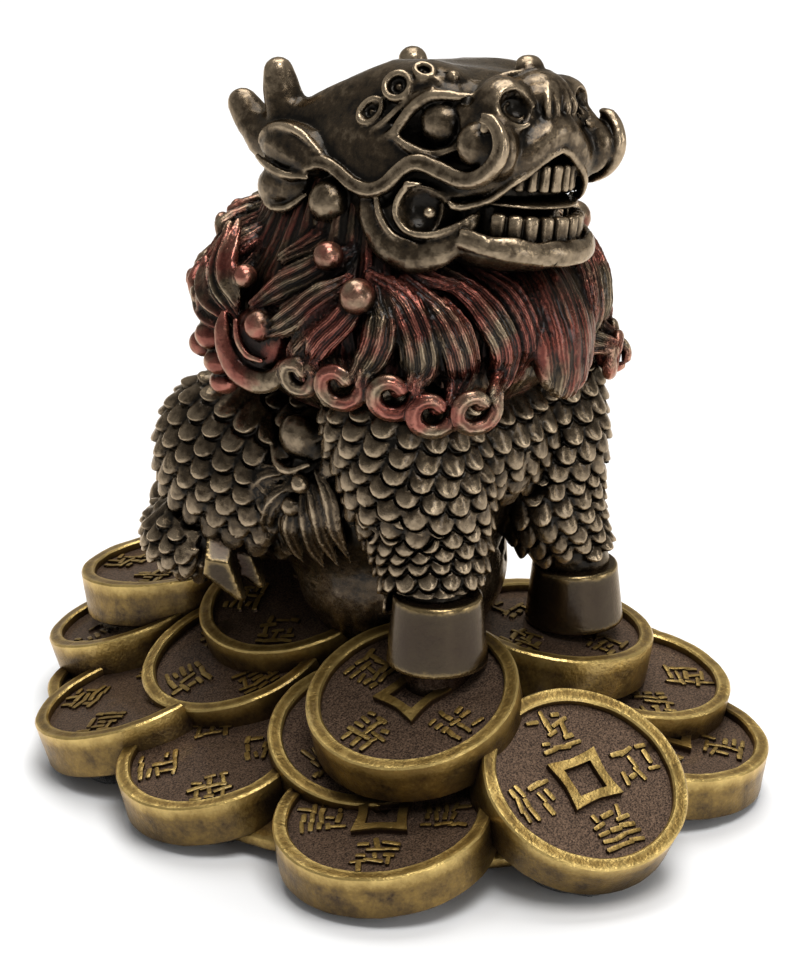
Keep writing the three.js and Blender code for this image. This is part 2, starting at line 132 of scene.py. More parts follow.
def turned(angles):
    """A turning matrix from angles about x, y and z in degrees."""
    x, y, z = (math.radians(a) for a in angles)
    turn = Matrix.Rotation(z, 3, "Z") @ Matrix.Rotation(y, 3, "Y") @ Matrix.Rotation(x, 3, "X")
    return np.array(turn)


def unit(vector):
    return np.asarray(vector, float) / max(np.linalg.norm(vector), 1e-9)


def along(way, x, y, z):
    """How far each point of a grid lies along a direction."""
    return way[0] * x + way[1] * y + way[2] * z


def smooth_path(points, steps):
    """Places spread along a smooth curve through a few given points."""
    p = np.array(points, float)
    p = np.vstack([2 * p[0] - p[1], p, 2 * p[-1] - p[-2]])
    path = []
    for t in np.linspace(0, len(points) - 1, steps + 1):
        first = min(int(t), len(points) - 2)
        a, b, c, d = p[first:first + 4]
        ab, bc, cd = (max(np.linalg.norm(v) ** 0.5, 1e-4) for v in (b - a, c - b, d - c))
        leave = bc * ((b - a) / ab - (c - a) / (ab + bc) + (c - b) / bc)
        reach = bc * ((c - b) / bc - (d - b) / (bc + cd) + (d - c) / cd)
        s = t - first
        path.append(
            b * (2 * s**3 - 3 * s**2 + 1)
            + leave * (s**3 - 2 * s**2 + s)
            + c * (3 * s**2 - 2 * s**3)
            + reach * (s**3 - s**2)
        )
    return np.array(path)


class Clay:
    """Clay on an even grid, holding how far each point is outside the surface, in millimetres."""

    def __init__(self, low, high, grain):
        self.low = np.array(low, float)
        self.grain = grain
        self.clear(np.ceil((np.array(high, float) - self.low) / grain).astype(int) + 1)

    def clear(self, size):
        self.size = size
        self.depth = np.full(size, AIR, np.float32)
        self.lines = np.zeros(size, np.float32)

    def part(self, low, high):
        """Fresh clay on the cells of this grid that lie between two corners, and where they are."""
        first = np.maximum(np.floor((np.asarray(low) - self.low) / self.grain).astype(int), 0)
        last = np.minimum(np.ceil((np.asarray(high) - self.low) / self.grain).astype(int) + 1, self.size)
        if (last - first < 2).any():
            return None, None
        piece = copy(self)
        piece.low = self.low + first * self.grain
        piece.clear(last - first)
        return piece, tuple(slice(a, b) for a, b in zip(first, last))

    def points(self):
        axes = [low + self.grain * np.arange(n) for low, n in zip(self.low, self.size)]
        return [a.astype(np.float32) for a in np.meshgrid(*axes, indexing="ij", sparse=True)]

    def merge(self, where, depth, blend=0.0, cut=False, lines=0.0):
        old = self.depth[where]
        nearer = -depth > old if cut else depth < old
        self.lines[where] = np.where(nearer, lines, self.lines[where])
        self.depth[where] = -weld(-old, depth, blend) if cut else weld(old, depth, blend)

    def press(self, low, high, form, blend=0.0, cut=False, lines=None):
        """Adds a form, or cuts it out. It lies between two corners and gives a depth for x, y and z."""
        reach = blend + MARGIN * self.grain
        piece, where = self.part(np.asarray(low) - reach, np.asarray(high) + reach)
        if piece:
            drawn = lines(*piece.points()) if lines else 0.0
            self.merge(where, form(*piece.points()), blend, cut, drawn)

    def egg(self, middle, radii, blend=0.0, turn=(0, 0, 0), cut=False):
        """A ball or egg."""
        middle = np.array(middle, float)
        radii = np.array(np.broadcast_to(radii, 3), float)
        axes = turned(turn).T
        spread = np.abs(axes.T) @ radii

        def form(x, y, z):
            place = (x - middle[0], y - middle[1], z - middle[2])
            parts = [along(axis, *place) for axis in axes]
            near = np.sqrt(sum((a / r) ** 2 for a, r in zip(parts, radii)))
            slope = np.sqrt(sum((a / r**2) ** 2 for a, r in zip(parts, radii)))
            return near * (near - 1) / np.maximum(slope, 1e-4)

        self.press(middle - spread, middle + spread, form, blend, cut)

    def brick(self, middle, half, blend=0.0, turn=(0, 0, 0), round_off=0.3, cut=False):
        """A block with rounded edges."""
        middle = np.array(middle, float)
        half = np.array(half, float)
        axes = turned(turn).T
        spread = np.abs(axes.T) @ half

        def form(x, y, z):
            place = (x - middle[0], y - middle[1], z - middle[2])
            over = [np.abs(along(axis, *place)) - (h - round_off) for axis, h in zip(axes, half)]
            outside = np.sqrt(sum(np.maximum(o, 0) ** 2 for o in over))
            inside = np.minimum(np.maximum(np.maximum(over[0], over[1]), over[2]), 0)
            return outside + inside - round_off

        self.press(middle - spread, middle + spread, form, blend, cut)

    def strand(self, points, widths, flat=1.0, away=(0, 0, 1), ribs=0, rib_depth=0.4, blend=0.0,
               cut=False, steps=14, wavy=0.0, comb=0.0):
        """A tapered strand along a smooth curve. Ribs and fine comb lines run along it."""
        path = smooth_path(points, steps)
        width = np.interp(np.linspace(0, 1, steps + 1), np.linspace(0, 1, len(widths)), widths)
        reach = width.max() * max(flat, 1) + blend + MARGIN * self.grain
        whole, where = self.part(path.min(axis=0) - reach, path.max(axis=0) + reach)
        if not whole:
            return
        for i in range(steps):
            start, end = path[i], path[i + 1]
            first, last = width[i], width[i + 1]
            length = np.linalg.norm(end - start)
            if length < 1e-5:
                continue
            way = (end - start) / length
            out = np.array(away(0.5 * (start + end)) if callable(away) else away, float)
            out = unit(out - way * out.dot(way))
            side = np.cross(way, out)
            widest = max(first, last) * max(flat, 1) + blend + MARGIN * self.grain
            piece, cells = whole.part(np.minimum(start, end) - widest, np.maximum(start, end) + widest)
            if not piece:
                continue
            place = [axis - origin for axis, origin in zip(piece.points(), start)]
            ahead = along(way, *place)
            t = np.clip(ahead / length, 0, 1)
            w = ahead - t * length
            u = along(side, *place)
            v = along(out, *place)
            r = first + (last - first) * t
            near = np.sqrt((u / r) ** 2 + (v / (r * flat)) ** 2 + (w / r) ** 2)
            slope = np.sqrt((u / r**2) ** 2 + (v / (r * flat) ** 2) ** 2 + (w / r**2) ** 2)
            depth = near * (near - 1) / np.maximum(slope, 1e-4)
            if ribs:
                across = u / r
                if wavy:
                    across = across + wavy * (1 - across * across) * np.sin(0.7 * (i + t) + points[0][1])
                groove = 0.5 - 0.5 * np.cos(math.pi * ribs * across)
                if wavy:
                    groove = 0.75 * groove + 0.35 * (0.5 - 0.5 * np.cos(2.3 * math.pi * ribs * across + 1))
                depth = depth + rib_depth * groove
            whole.merge(cells, depth, lines=comb * np.clip(u / r, -1, 1))
        self.merge(where, whole.depth, blend, cut, whole.lines)

    def at(self, places):
        return sampled(self.depth, (np.asarray(places) - self.low) / self.grain)

    def outward(self, places):
        """The direction away from the surface at each place."""
        step = self.grain
        slope = np.stack([self.at(places + d) - self.at(places - d) for d in np.eye(3) * step], axis=1)
        return slope / np.maximum(np.linalg.norm(slope, axis=1, keepdims=True), 1e-6)

    def surface_along(self, starts, directions, limit):
        """Where lines that start inside the form last leave it, or not-a-number where they don't."""
        reach = np.arange(0, limit, self.grain)
        lines = starts[:, None, :] + directions[:, None, :] * reach[None, :, None]
        depth = self.at(lines.reshape(-1, 3)).reshape(len(starts), -1)
        leaving = (depth[:, :-1] < 0) & (depth[:, 1:] >= 0)
        found = leaving.any(axis=1)
        last = leaving.shape[1] - 1 - np.argmax(leaving[:, ::-1], axis=1)
        rows = np.arange(len(starts))
        inner, outer = depth[rows, last], depth[rows, last + 1]
        distance = reach[last] + self.grain * inner / np.minimum(inner - outer, -1e-6)
        places = starts + directions * distance[:, None]
        places[~found] = np.nan
        return places

    def scale(self, place, out, down, width, lift, gap=False):
        """One roof-tile scale with a round lower end that stands off the skin, or the gap cut round it."""
        side = np.cross(down, out)
        half = width / 2
        reach = width * 1.25

        def form(x, y, z):
            x, y, z = x - place[0], y - place[1], z - place[2]
            s, t, h = (along(way, x, y, z) for way in (side, down, out))
            outline = np.where(t < 0, np.abs(s), np.sqrt(s * s + t * t)) - half
            if gap:
                walls = np.maximum(outline - GAP_WIDTH, -t - 0.15 * half)
                return np.maximum(walls, np.maximum(-h - GAP_DEPTH, h - GAP_TOP))
            crown = lift * (0.4 + 0.6 * t / half) + SCALE_CROWN * (1 - (s / half) ** 2) - 0.08
            tile = -weld(-outline, -(h - crown), 0.3)
            return np.maximum(np.maximum(tile, -t - reach), -h - SCALE_ROOT)

        self.press(place - reach, place + reach, form, cut=gap)

    def mirrored(self):
        """The form with its other half, for clay that ends at the plane x = 0."""
        whole = copy(self)
        whole.depth = np.concatenate([self.depth, self.depth[-2::-1]], axis=0)
        whole.lines = np.concatenate([self.lines, self.lines[-2::-1]], axis=0)
        whole.size = np.array(whole.depth.shape)
        return whole

    def mesh(self, name, place=None, most=MOST_TRIANGLES, adaptivity=0.1):
        """The form as a closed mesh in the frame with at most so many triangles. Its "wear" tells how worn
        each point is and how sheltered in a hollow, which the colour shows as patina and, in broad hollows,
        as painted shade, and its "comb" counts the fine lines across a lock of hair."""
        depth = np.clip(self.depth, -AIR, AIR)
        for axis in range(3):
            ends = [slice(None)] * 3
            for end in (0, -1):
                ends[axis] = end
                depth[tuple(ends)] = np.maximum(depth[tuple(ends)], 0.5 * self.grain)
        grid = openvdb.FloatGrid(AIR)
        grid.copyFromArray(depth)
        cells, triangles, quads = grid.convertToPolygons(isovalue=0.0, adaptivity=adaptivity)
        mesh = bpy.data.meshes.new(name)
        mesh.from_pydata(cells.tolist(), [], triangles.tolist() + quads.tolist())
        mesh = thinned(mesh, most / (len(triangles) + 2 * len(quads)))
        cells = np.empty(3 * len(mesh.vertices), np.float32)
        mesh.vertices.foreach_get("co", cells)
        cells = cells.reshape(-1, 3)
        near = np.clip(depth, -2.4 * self.grain, 2.4 * self.grain)
        # Fine scale: rubbed edges and patina in fine grooves. Whole-form scale: lighter domes, and broad
        # hollows darkened with patina and painted shade
        edges_worn = sampled(blurred(near, max(1, round(EDGE_REACH / self.grain))) - near, cells)
        forms_worn_and_shaded = sampled(blurred(near, round(FORM_REACH / self.grain)) - near, cells)
        wear = np.tanh(EDGE_WEAR * edges_worn + FORM_WEAR_AND_SHADE * forms_worn_and_shaded)
        wear = np.where(wear > 0, wear**WEAR_POWER, wear)
        values = {"wear": wear, "comb": sampled(self.lines, cells)}
        for attribute, value in values.items():
            layer = mesh.attributes.new(attribute, "FLOAT", "POINT")
            layer.data.foreach_set("value", value.astype(np.float32))
        places = self.low + cells * self.grain
        if place is not None:
            places = places @ np.array(place.to_3x3()).T + np.array(place.translation)
        places = (places - PILE_MIDDLE) * MM
        mesh.vertices.foreach_set("co", places.astype(np.float32).ravel())
        mesh.shade_smooth()
        return mesh


def new_object(name, data):
    made = bpy.data.objects.new(name, data)
    bpy.context.collection.objects.link(made)
    return made


def made_mesh(maker):
    """The mesh that an object's modifiers make, as a plain mesh."""
    return bpy.data.meshes.new_from_object(maker.evaluated_get(bpy.context.evaluated_depsgraph_get()))


def thinned(mesh, share):
    """The mesh with its triangles brought down to a share of them where its form allows."""
    if share >= 1:
        return mesh
    holder = new_object(mesh.name, mesh)
    thin = holder.modifiers.new("thin", "DECIMATE")
    thin.ratio = share
    result = made_mesh(holder)
    name = mesh.name
    bpy.data.objects.remove(holder)
    bpy.data.meshes.remove(mesh)
    result.name = name
    return result


def add_piece(mesh, material, replaced=CASTING):
    """Puts a finished mesh in the scene as a piece of the casting."""
    piece = new_object(mesh.name, mesh)
    mesh.materials.clear()
    mesh.materials.append(material)
    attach(piece, BODY)
    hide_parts(replaced)


def grain_of(casting):
    return casting.grain


# Head, in its own frame: the pivot is between the ears and the nose looks along -y. Its right half only.


def head_place():
    turn = Matrix.Rotation(HEAD_YAW, 4, "Z") @ Matrix.Rotation(HEAD_ROLL, 4, "Y")
    return Matrix.Translation(HEAD_PIVOT) @ turn


def right(points):
    """Points given with x away from the middle, put on the animal's right side."""
    return [(-x, y, z) for x, y, z in points]


def hoop(middle, out, radius, start=0, end=360, tall=1.0, lean=0.0, count=16):
    """Points of an arc that faces a direction. Angle 0 is towards the nose and 90 is up."""
    out = unit(out)
    up = unit(np.array((0, 0, 1.0)) - out * out[2])
    ahead = np.cross(up, out)
    turn = math.radians(lean)
    level = ahead * math.cos(turn) + up * math.sin(turn)
    over = up * math.cos(turn) - ahead * math.sin(turn)
    angles = np.radians(np.linspace(start, end, count))
    return [np.array(middle) + radius * (level * math.cos(a) + over * tall * math.sin(a)) for a in angles]


def skull(clay):
    clay.egg((0, -0.5, 0.5), (12, 13, 9.5))
    clay.egg((-10.2, 2, -1.6), (3, 8, 5), blend=1.5)
    clay.egg((0, -11.5, 4.4), (9.4, 7.4, 5.8), blend=1.5)
    clay.egg((0, -8, 7.2), (4.2, 7, 3.5), blend=1.5)
    clay.egg((0, -12.6, -8.2), (9.2, 7.6, 3.3), blend=1)
    clay.egg((0, -9, -2.5), (9.4, 8, 6), blend=1)
    clay.egg((-9, -4, -5.5), (4, 8.4, 6.5), blend=1.5)
    clay.egg((-5.2, -3, 6.5), (4.9, 7.6, 4.2), turn=(-9, 0, -8), blend=1.2)
    clay.strand([(0, -9, 11.4), (0, -2, 12), (0, 6, 10.6)], [1, 1.6, 1], cut=True, blend=1.2)


def nose(clay):
    clay.egg((0, -13, 11.3), (1.6, 1.6, 1.6), blend=0.2)
    behind = [(7.6, -11.6, 7.6), (5, -11.2, 10.4), (2, -11.6, 11.4), (0, -11.4, 11.4)]
    clay.strand(right(behind), [0.5, 0.7, 0.5], cut=True, blend=0.5)
    clay.egg((0, -15, 8.2), (3.8, 3.5, 3.4), blend=0.5)
    clay.egg((-4.3, -14.2, 7.7), (3.4, 3.1, 3.1), blend=0.7)
    crest = [(7.6, -13, 6.8), (6.2, -12.4, 9.2), (3.4, -13, 10.7), (0, -14.4, 11.3)]
    clay.strand(right(crest), [0.3, 0.4, 0.34], blend=0.2, steps=16)
    out = (-0.42, -0.66, 0.62)
    clay.egg((-5.6, -17.3, 8), (2.1, 2.1, 2.1), cut=True, blend=0.3)
    clay.strand(hoop((-5.1, -16.7, 7.5), out, 2.1, 20, 310), [0.3, 0.42, 0.42, 0.3], blend=0.2, steps=26)
    clay.strand(hoop((-4.9, -16.3, 7.3), out, 1.15, 120, 330), [0.2, 0.35, 0.2], blend=0.2, steps=16)
    for i in range(2):
        x = -0.7 - 1.2 * i
        fold = [(x * 0.6, -17.4, 10.4), (x, -18.6 + 0.2 * i, 8), (x * 0.5, -18, 5.6)]
        clay.strand(fold, [0.3, 0.5, 0.3], away=(0, -1, 0), blend=0.3)
    clay.strand([(0, -19, 5.6), (0, -19.2, 3.6)], [0.35, 0.4], cut=True, blend=0.5)


def eye(clay):
    clay.egg((-10.6, -8.2, 4.6), (3.6, 4.6, 3.3), cut=True, blend=0.5)
    clay.egg((-7.7, -8.7, 4.7), (2.75, 2.8, 2.7), blend=0.1)
    lid = [(11.8, -2.4, 1.4), (11.2, -4.4, 2.8), (10.7, -5, 4.1), (10.2, -6, 5.9), (9.6, -7.8, 7.5),
           (8.9, -9.4, 7.9), (7.9, -11.4, 8.1), (6.2, -12.8, 8.8)]
    clay.strand(right(lid), [0.4, 0.7, 0.75, 0.6, 0.3], away=(-1, 0, 0.6), blend=0.3, steps=24)
    under = [(11.2, -4.4, 2.6), (10.8, -6.8, 1.6), (10, -9.6, 1.3), (8.8, -11.8, 2.4)]
    clay.strand(right(under), [0.4, 0.6, 0.6, 0.4], away=(-1, 0, 0.6), blend=0.4)


def scroll_ring(clay, middle, out, radius, tall=1.0, lean=0.0, width=0.38):
    """A raised ring round a hollow with a grain in its heart, as the brows have."""
    middle = np.array(middle)
    out = unit(out)
    clay.egg(middle - out * 0.3, radius * 1.15, blend=0.3)
    clay.egg(middle + out * radius * 0.8, radius * 0.95, cut=True, blend=0.15)
    circle = hoop(middle + out * 0.35 * radius, out, radius, 0, 360, tall, lean)
    clay.strand(circle, [width, width], blend=0.12, steps=24)
    clay.egg(middle - out * 0.1, radius * 0.36, blend=0.1)


def brow(clay):
    scroll_ring(clay, (-10.1, -3.4, 7.7), (-0.85, -0.3, 0.45), 1.5, width=0.42)
    scroll_ring(clay, (-8.6, -5.6, 9.7), (-0.6, -0.3, 0.75), 1.15, tall=0.7, lean=-25, width=0.36)
    scroll_ring(clay, (-11, -0.5, 4.4), (-0.88, -0.2, 0.4), 1.2, tall=1.35, lean=-30)
    clay.egg((-7, -8.5, 9.7), 0.8, blend=0.15)
    borders = [
        [(11.8, 1, 2.9), (11.8, -1, 2.4), (11.3, -2.8, 3.7), (10.5, -4.2, 5.6), (10.1, -5.4, 6.9),
         (9.3, -7.8, 8.4)],
        [(9.9, -4.8, 8.2), (9.2, -6.2, 9), (8, -7.6, 9.3), (7.4, -8.6, 9)],
        [(10.4, -1.6, 6.2), (10.2, -2.2, 6.9), (10.4, -3.2, 6.4)],
    ]
    for path in borders:
        clay.strand(right(path), [0.25, 0.42, 0.42, 0.25], away=(-1, 0, 0.6), blend=0.2, steps=20)


# The whisker's way from the ear to the top of the cheek's knob
WHISKER = [
    (14.2, 9.6, -5.4), (14.3, 7.4, -4.4), (14.1, 5.2, -2.6), (13.8, 3.2, -2.1), (13.5, 1, -2.7),
    (13.4, -1.2, -3.6), (13.4, -4, -3.7), (13.1, -6, -2.7), (12.4, -7, -1.2), (11.6, -8, 0),
    (10.9, -9.2, 0.3), (10.3, -10.5, 0), (9.9, -11.9, -0.3), (9.6, -13.6, -0.6), (9.5, -15.5, -0.4),
    (9.5, -17.5, 0.7), (9.4, -18.8, 2.4), (9.3, -19.1, 4), (9.3, -18.5, 5.5), (9.4, -17.3, 6.5),
    (9.5, -16.4, 6.6),
]


def cheek(clay):
    """The knob on the cheek, and the whisker that rolls round it and back in a wave to the ear."""
    clay.egg((-6.8, -15.6, 3.4), (3.2, 3, 3.4), blend=1)
    clay.egg((-7.5, -16.9, 3.1), (1.9, 2.5, 3.1), blend=0.5)
    shade = [(x, y, z - 1.5) for x, y, z in WHISKER[4:15]]
    clay.strand(right(shade), [0.5, 0.8, 0.8, 0.5], cut=True, blend=0.5, steps=24)
    clay.egg((-8.7, -14.8, 3.4), (2.2, 2.2, 2.5), blend=0.2)
    clay.strand(right(WHISKER), [0.5, 0.6, 0.65, 0.75, 0.85, 0.8, 0.7, 0.5], away=(-1, -0.2, 0.3), ribs=1,
                rib_depth=-0.3, flat=0.95, blend=0.15, steps=64)
    clay.egg((-9.7, -16.8, 5.6), 0.62, blend=0.1)


# The edge of the upper lip from the middle to the rolled corner of the jaw
LIP = [
    (0, -19.4, 3.5), (1.2, -19.3, 3), (2.7, -19, 2), (4.5, -18.6, 0.6), (5.9, -17.8, -0.6),
    (7, -16.5, -2.3), (7.7, -15, -3.2), (9, -13.4, -3.8), (10.6, -12.2, -3.1), (11.6, -10.4, -2.1),
    (12.4, -8.6, -2.1),
]
# The part of that edge over the open mouth
OPEN_LIP = LIP[:8]


def mouth(clay):
    """The open mouth: an arched gap under the upper lip's plate, the tongue's edge and the lower lip."""
    plate = [(x * 0.94, y + 1.1, z + 1.9) for x, y, z in OPEN_LIP]
    clay.strand(right(plate), [1.9, 1.9, 1.7, 1.3], blend=0.8, steps=18)
    across = [x for x, y, z in OPEN_LIP]
    height = [z for x, y, z in OPEN_LIP]

    def gape(x, y, z):
        arch = 0.8 * (z - np.interp(np.abs(x).ravel(), across, height).reshape(x.shape))
        floor = -7.2 - z
        back = 5.2 - np.sqrt(0.72 * x * x + (y + 12) ** 2)
        return np.maximum(np.maximum(arch, floor), np.maximum(back, y + 11.4) * 0.9)

    clay.press((-9.5, -24, -8), (0, -11, 4), gape, blend=0.3, cut=True)
    clay.strand(right(LIP), [0.5, 0.5, 0.48, 0.48, 0.45], away=(-1, -1, 0), blend=0.2, steps=34)
    clay.egg((0, -13.4, -3), (7.2, 6.6, 0.7), blend=0.2)
    jaw_y = -12.8
    lower = []
    for i in range(11):
        angle = math.radians(192 + 78 * i / 10)
        wave = 0.25 * math.cos(2 * angle)
        lower.append((9.4 * math.cos(angle), jaw_y + 8.9 * math.sin(angle), -7.7 + wave))

    def from_mouth(spot):
        return unit((spot[0], spot[1] + 13, 0))

    clay.strand(lower, [0.7, 1.25, 1.35], away=from_mouth, flat=0.62, blend=0.3, steps=24)
    edge = []
    for x, y, z in lower:
        scallop = 0.16 * math.cos(11 * math.atan2(y - jaw_y, x))
        edge.append((x * 0.99, jaw_y + (y - jaw_y) * 0.98, z + 1.05 + scallop))
    clay.strand(edge, [0.4, 0.48, 0.48], blend=0.12, steps=28)


# Rows of teeth: half a tooth's height, the row's height, its reach to the side and ahead, the middle
# it curves round, the degrees between its teeth and half a tooth's width
TEETH = [
    (1.65, 0.1, 6.0, 6.2, -12.6, 13.4, 0.6),
    (1.55, -5.4, 7.2, 7.5, -12.9, 14.2, 0.82),
]
TEETH_IN_ROW = 9


def teeth(clay):
    for half, middle, across, ahead, back, apart, width in TEETH:
        for i in range(TEETH_IN_ROW):
            angle = math.radians(-90 + (i - (TEETH_IN_ROW - 1) / 2) * apart)
            spot = (across * math.cos(angle), back + ahead * math.sin(angle), middle)
            if spot[0] < 1:
                facing = (0, 0, math.degrees(angle) + 90)
                clay.brick(spot, (width, 0.75, half), turn=facing, blend=0.1, round_off=0.45)


def jaw_scroll(clay):
    """The rolled corner of the jaw, an open bowl with a small knob in its hollow."""
    out = np.array((-0.86, -0.49, 0.1))
    clay.egg((-12, -11.2, -4.6), (2.6, 3.1, 2.9), cut=True, blend=0.4)
    clay.egg((-10.7, -10.9, -4.9), 0.75, blend=0.2)
    rim = [(12.2, -8.6, -2.1), (12.7, -7.8, -3.8), (12.8, -7.7, -5.6), (12.1, -9.1, -7.3),
           (10.9, -11.5, -7.3), (9, -13.6, -6), (7.6, -14.6, -4.6)]
    clay.strand(right(rim), [0.45, 0.4, 0.4, 0.45, 0.5, 0.35], away=out, blend=0.2, steps=26)
    roll = [(12.7, -3, -4.4), (12.7, -4.4, -7), (12, -6.4, -9.3), (11, -9, -10.2), (9.8, -11.8, -9.3),
            (8.6, -13.6, -7.6), (7.4, -14.6, -5.4), (6.8, -14.6, -4)]
    roll_widths = [1, 1.6, 2.0, 2.1, 1.8, 1.2, 0.6, 0.2]
    clay.strand(right(roll), roll_widths, away=out, flat=0.85, blend=0.35, steps=30)
    inner = [(13.3, -4.8, -3.6), (13.4, -5.8, -6), (12.8, -7.6, -8), (11.6, -10, -8.6)]
    clay.strand(right(inner), [0.3, 0.45, 0.45, 0.3], away=out, blend=0.3, steps=18)


def ear(clay):
    """A shell of three folds with a lobe below it."""
    clay.egg((-12.6, 9, -1.8), (2.6, 6.2, 3), turn=(6, 0, 0), blend=0.4)
    clay.egg((-12.8, 10, -6), (2.6, 4.2, 2.9), turn=(-14, 0, 0), blend=0.15)
    grooves = [
        [(15.2, 4.6, -2.6), (15.6, 8.3, -0.9), (15.4, 11.6, -0.4), (14.2, 14.2, -1.6)],
        [(15.2, 5.6, -3.8), (15.8, 8.9, -2.9), (15.6, 11.8, -2.4), (14.2, 14.6, -3.2)],
    ]
    for path in grooves:
        clay.strand(right(path), [0.4, 0.65, 0.65, 0.4], cut=True, blend=0.6)
    rims = [
        [(13.6, 3.4, -1.8), (14.4, 6.6, 0.5), (14.4, 9.8, 0.9), (13.8, 13, -0.1), (13, 15, -2)],
        [(14.4, 5.2, -4.1), (15.2, 8.4, -4.3), (14.8, 11.6, -3.9), (13.4, 14.8, -3.6)],
        [(14, 5.6, -6.2), (14.6, 8, -8.2), (14, 11.6, -8.4), (13.2, 14, -6.4)],
    ]
    for path in rims:
        clay.strand(right(path), [0.3, 0.5, 0.5, 0.3], away=(-1, 0, 0), blend=0.35)
    clay.egg((-13, 2.4, -6.3), (2.6, 2.6, 2.6), blend=0.15)
    clay.egg((-12.6, 3.4, -8.8), (1.7, 1.7, 1.6), blend=0.1)


def horn(clay):
    trunk = [(5.5, 1.5, 5.8), (7.8, 8, 2.2), (9.4, 13.2, -1), (10, 17, -2.4)]
    front = [(9.4, 13, -0.6), (10.2, 14.8, 3), (10.8, 15.5, 6)]
    rear = [(9.6, 14.5, -2), (9.9, 19, -0.8), (10.2, 21.6, 1.2)]
    clay.strand(right(trunk), [3.8, 3.5, 3, 2.2], blend=1.5)
    clay.strand(right(front), [2.9, 2.6, 2.3, 2.1, 1.75], blend=1.2)
    clay.strand(right(rear), [2.6, 2.5, 2.3, 2.1, 1.8], blend=1.2)


def sculpt_head(grain):
    clay = Clay((-18.5, -27, -15), (0, 25.5, 16), grain)
    for form in (skull, horn, eye, brow, nose, mouth, teeth, cheek, jaw_scroll, ear):
        form(clay)
    whole = clay.mirrored()
    whole.egg((10.9, 15.6, 6.9), 1.75, blend=0.4)
    whole.egg((9, -17, 3.4), (1.7, 2.3, 2.5), blend=0.3)
    return whole


# Mane and beard, in the animal's frame. Its right half only.


def on_mane(angle, height, lift=0.0):
    """A place on the mane by its angle round the neck, in degrees from the animal's left, and height."""
    angle = math.radians(angle)
    x, y, z = MANE_MIDDLE
    reach = MANE_REACH * math.sqrt(max(1 - ((height - z) / MANE_HALF_HEIGHT) ** 2, 0.1)) + lift
    return np.array((x + reach * math.cos(angle), y + MANE_STRETCH * reach * math.sin(angle), height))


def from_mane(spot):
    return unit(np.asarray(spot) - MANE_MIDDLE)


def from_neck(spot):
    """Straight out from the neck, a little downwards."""
    return unit((spot[0], spot[1] - 0.5, -0.12 * math.hypot(spot[0], spot[1])))


def snail(middle, radius, start=25, turn=-345, shrink=0.52, count=18):
    """Points of a curl that winds inwards as it lies on the mane. Angle 0 is towards the nose."""
    middle = np.array(middle, float)
    out = from_neck(middle)
    up = unit(np.array((0, 0, 1.0)) - out * out[2])
    ahead = np.cross(up, out)
    path = []
    for i in range(count):
        part = i / (count - 1)
        angle = math.radians(start + turn * part)
        reach = radius * (1 - shrink * part**1.6)
        path.append(middle + reach * (ahead * math.cos(angle) + up * math.sin(angle)) + out * 0.5 * part**2)
    return path


# Locks with a curl at the foot: the lock's way down as angle and height, its half widths, ribs,
# the middle of the curl, its radius and its half width
CURLED_LOCKS = [
    ([(203, 65.2), (197, 63), (191, 60.4), (187.5, 58.4)], [0.9, 1.6, 1.5], 2,
     (-22.4, -2.9, 56.2), 2.1, 0.95),
    ([(211, 65.8), (213, 62.6), (211, 59.6)], [1.3, 2.4, 2.2], 3,
     (-21.6, -8.3, 56.1), 2.6, 1.0),
    ([(208, 67.4), (219, 65.2), (224, 61), (224.5, 58.4)], [1.0, 2.6, 2.8], 4,
     (-18.9, -13.7, 55.4), 2.65, 1.02),
    ([(220, 67), (231, 63.2), (235, 59), (235.5, 56.6)], [1.2, 2.7, 2.5], 4,
     (-16.2, -17.1, 53.3), 2.6, 0.98),
    ([(230, 68), (242, 65), (249, 60), (249.5, 56.4)], [1.2, 2.4, 2.2], 3,
     (-12.7, -20.4, 53.5), 2.6, 0.98),
]


def curled_lock(clay, way, widths, ribs, middle, radius, width):
    curl = snail(middle, radius)
    joint = 0.5 * (on_mane(*way[-1]) + curl[0])
    lock = [*(on_mane(*spot, lift=0.3) for spot in way), joint, *curl[0:7:2]]
    out = from_neck(middle)
    clay.strand(lock, [*widths, 1.6 * width, 1.25 * width, 1.1 * width, width], away=from_mane, ribs=ribs,
                rib_depth=0.45, flat=0.6, blend=0.1, steps=30, wavy=0.08, comb=2.2 * ribs)
    clay.egg(np.array(middle) + out * 0.5, 0.8 * radius, cut=True, blend=0.2)
    clay.strand([lock[-6], *curl], [0.5, 1.05 * width, width, width, 0.95 * width, 0.8 * width],
                away=out, flat=0.85, blend=0.1, steps=46, comb=1.2)
    up = np.array((0, 0, 1.0))
    ahead = unit(np.cross(up, out))
    clay.egg(np.array(middle) + 0.2 * radius * (ahead + up) - out * 0.1, 0.38 * radius, blend=0.1)


# Plain ribbed locks as in the table above, without a curl
PLAIN_LOCKS = [
    ([(184, 73), (176, 71.6), (167, 69.8)], [1.0, 2.0, 1.2], 3),
    ([(193, 71.6), (184, 70), (174, 67.8)], [1.0, 2.3, 1.3], 4),
    ([(199, 69.4), (190, 67.6), (181, 65.6), (172, 63)], [1.0, 2.2, 2.3, 1.2], 4),
    ([(201, 67), (193, 65), (186, 62.6), (178, 60.4)], [1.0, 2.1, 2.2, 1.1], 4),
    ([(208, 66.4), (202, 63.2), (196, 60.4), (193, 58.4)], [0.9, 1.9, 2.0, 1.0], 3),
    ([(243, 68.4), (253, 65), (257, 60), (256, 54.6)], [1.0, 2.2, 2.0, 0.6], 4),
    ([(214, 69.6), (224, 67.8), (236, 66.4)], [0.8, 1.6, 0.8], 3),
]


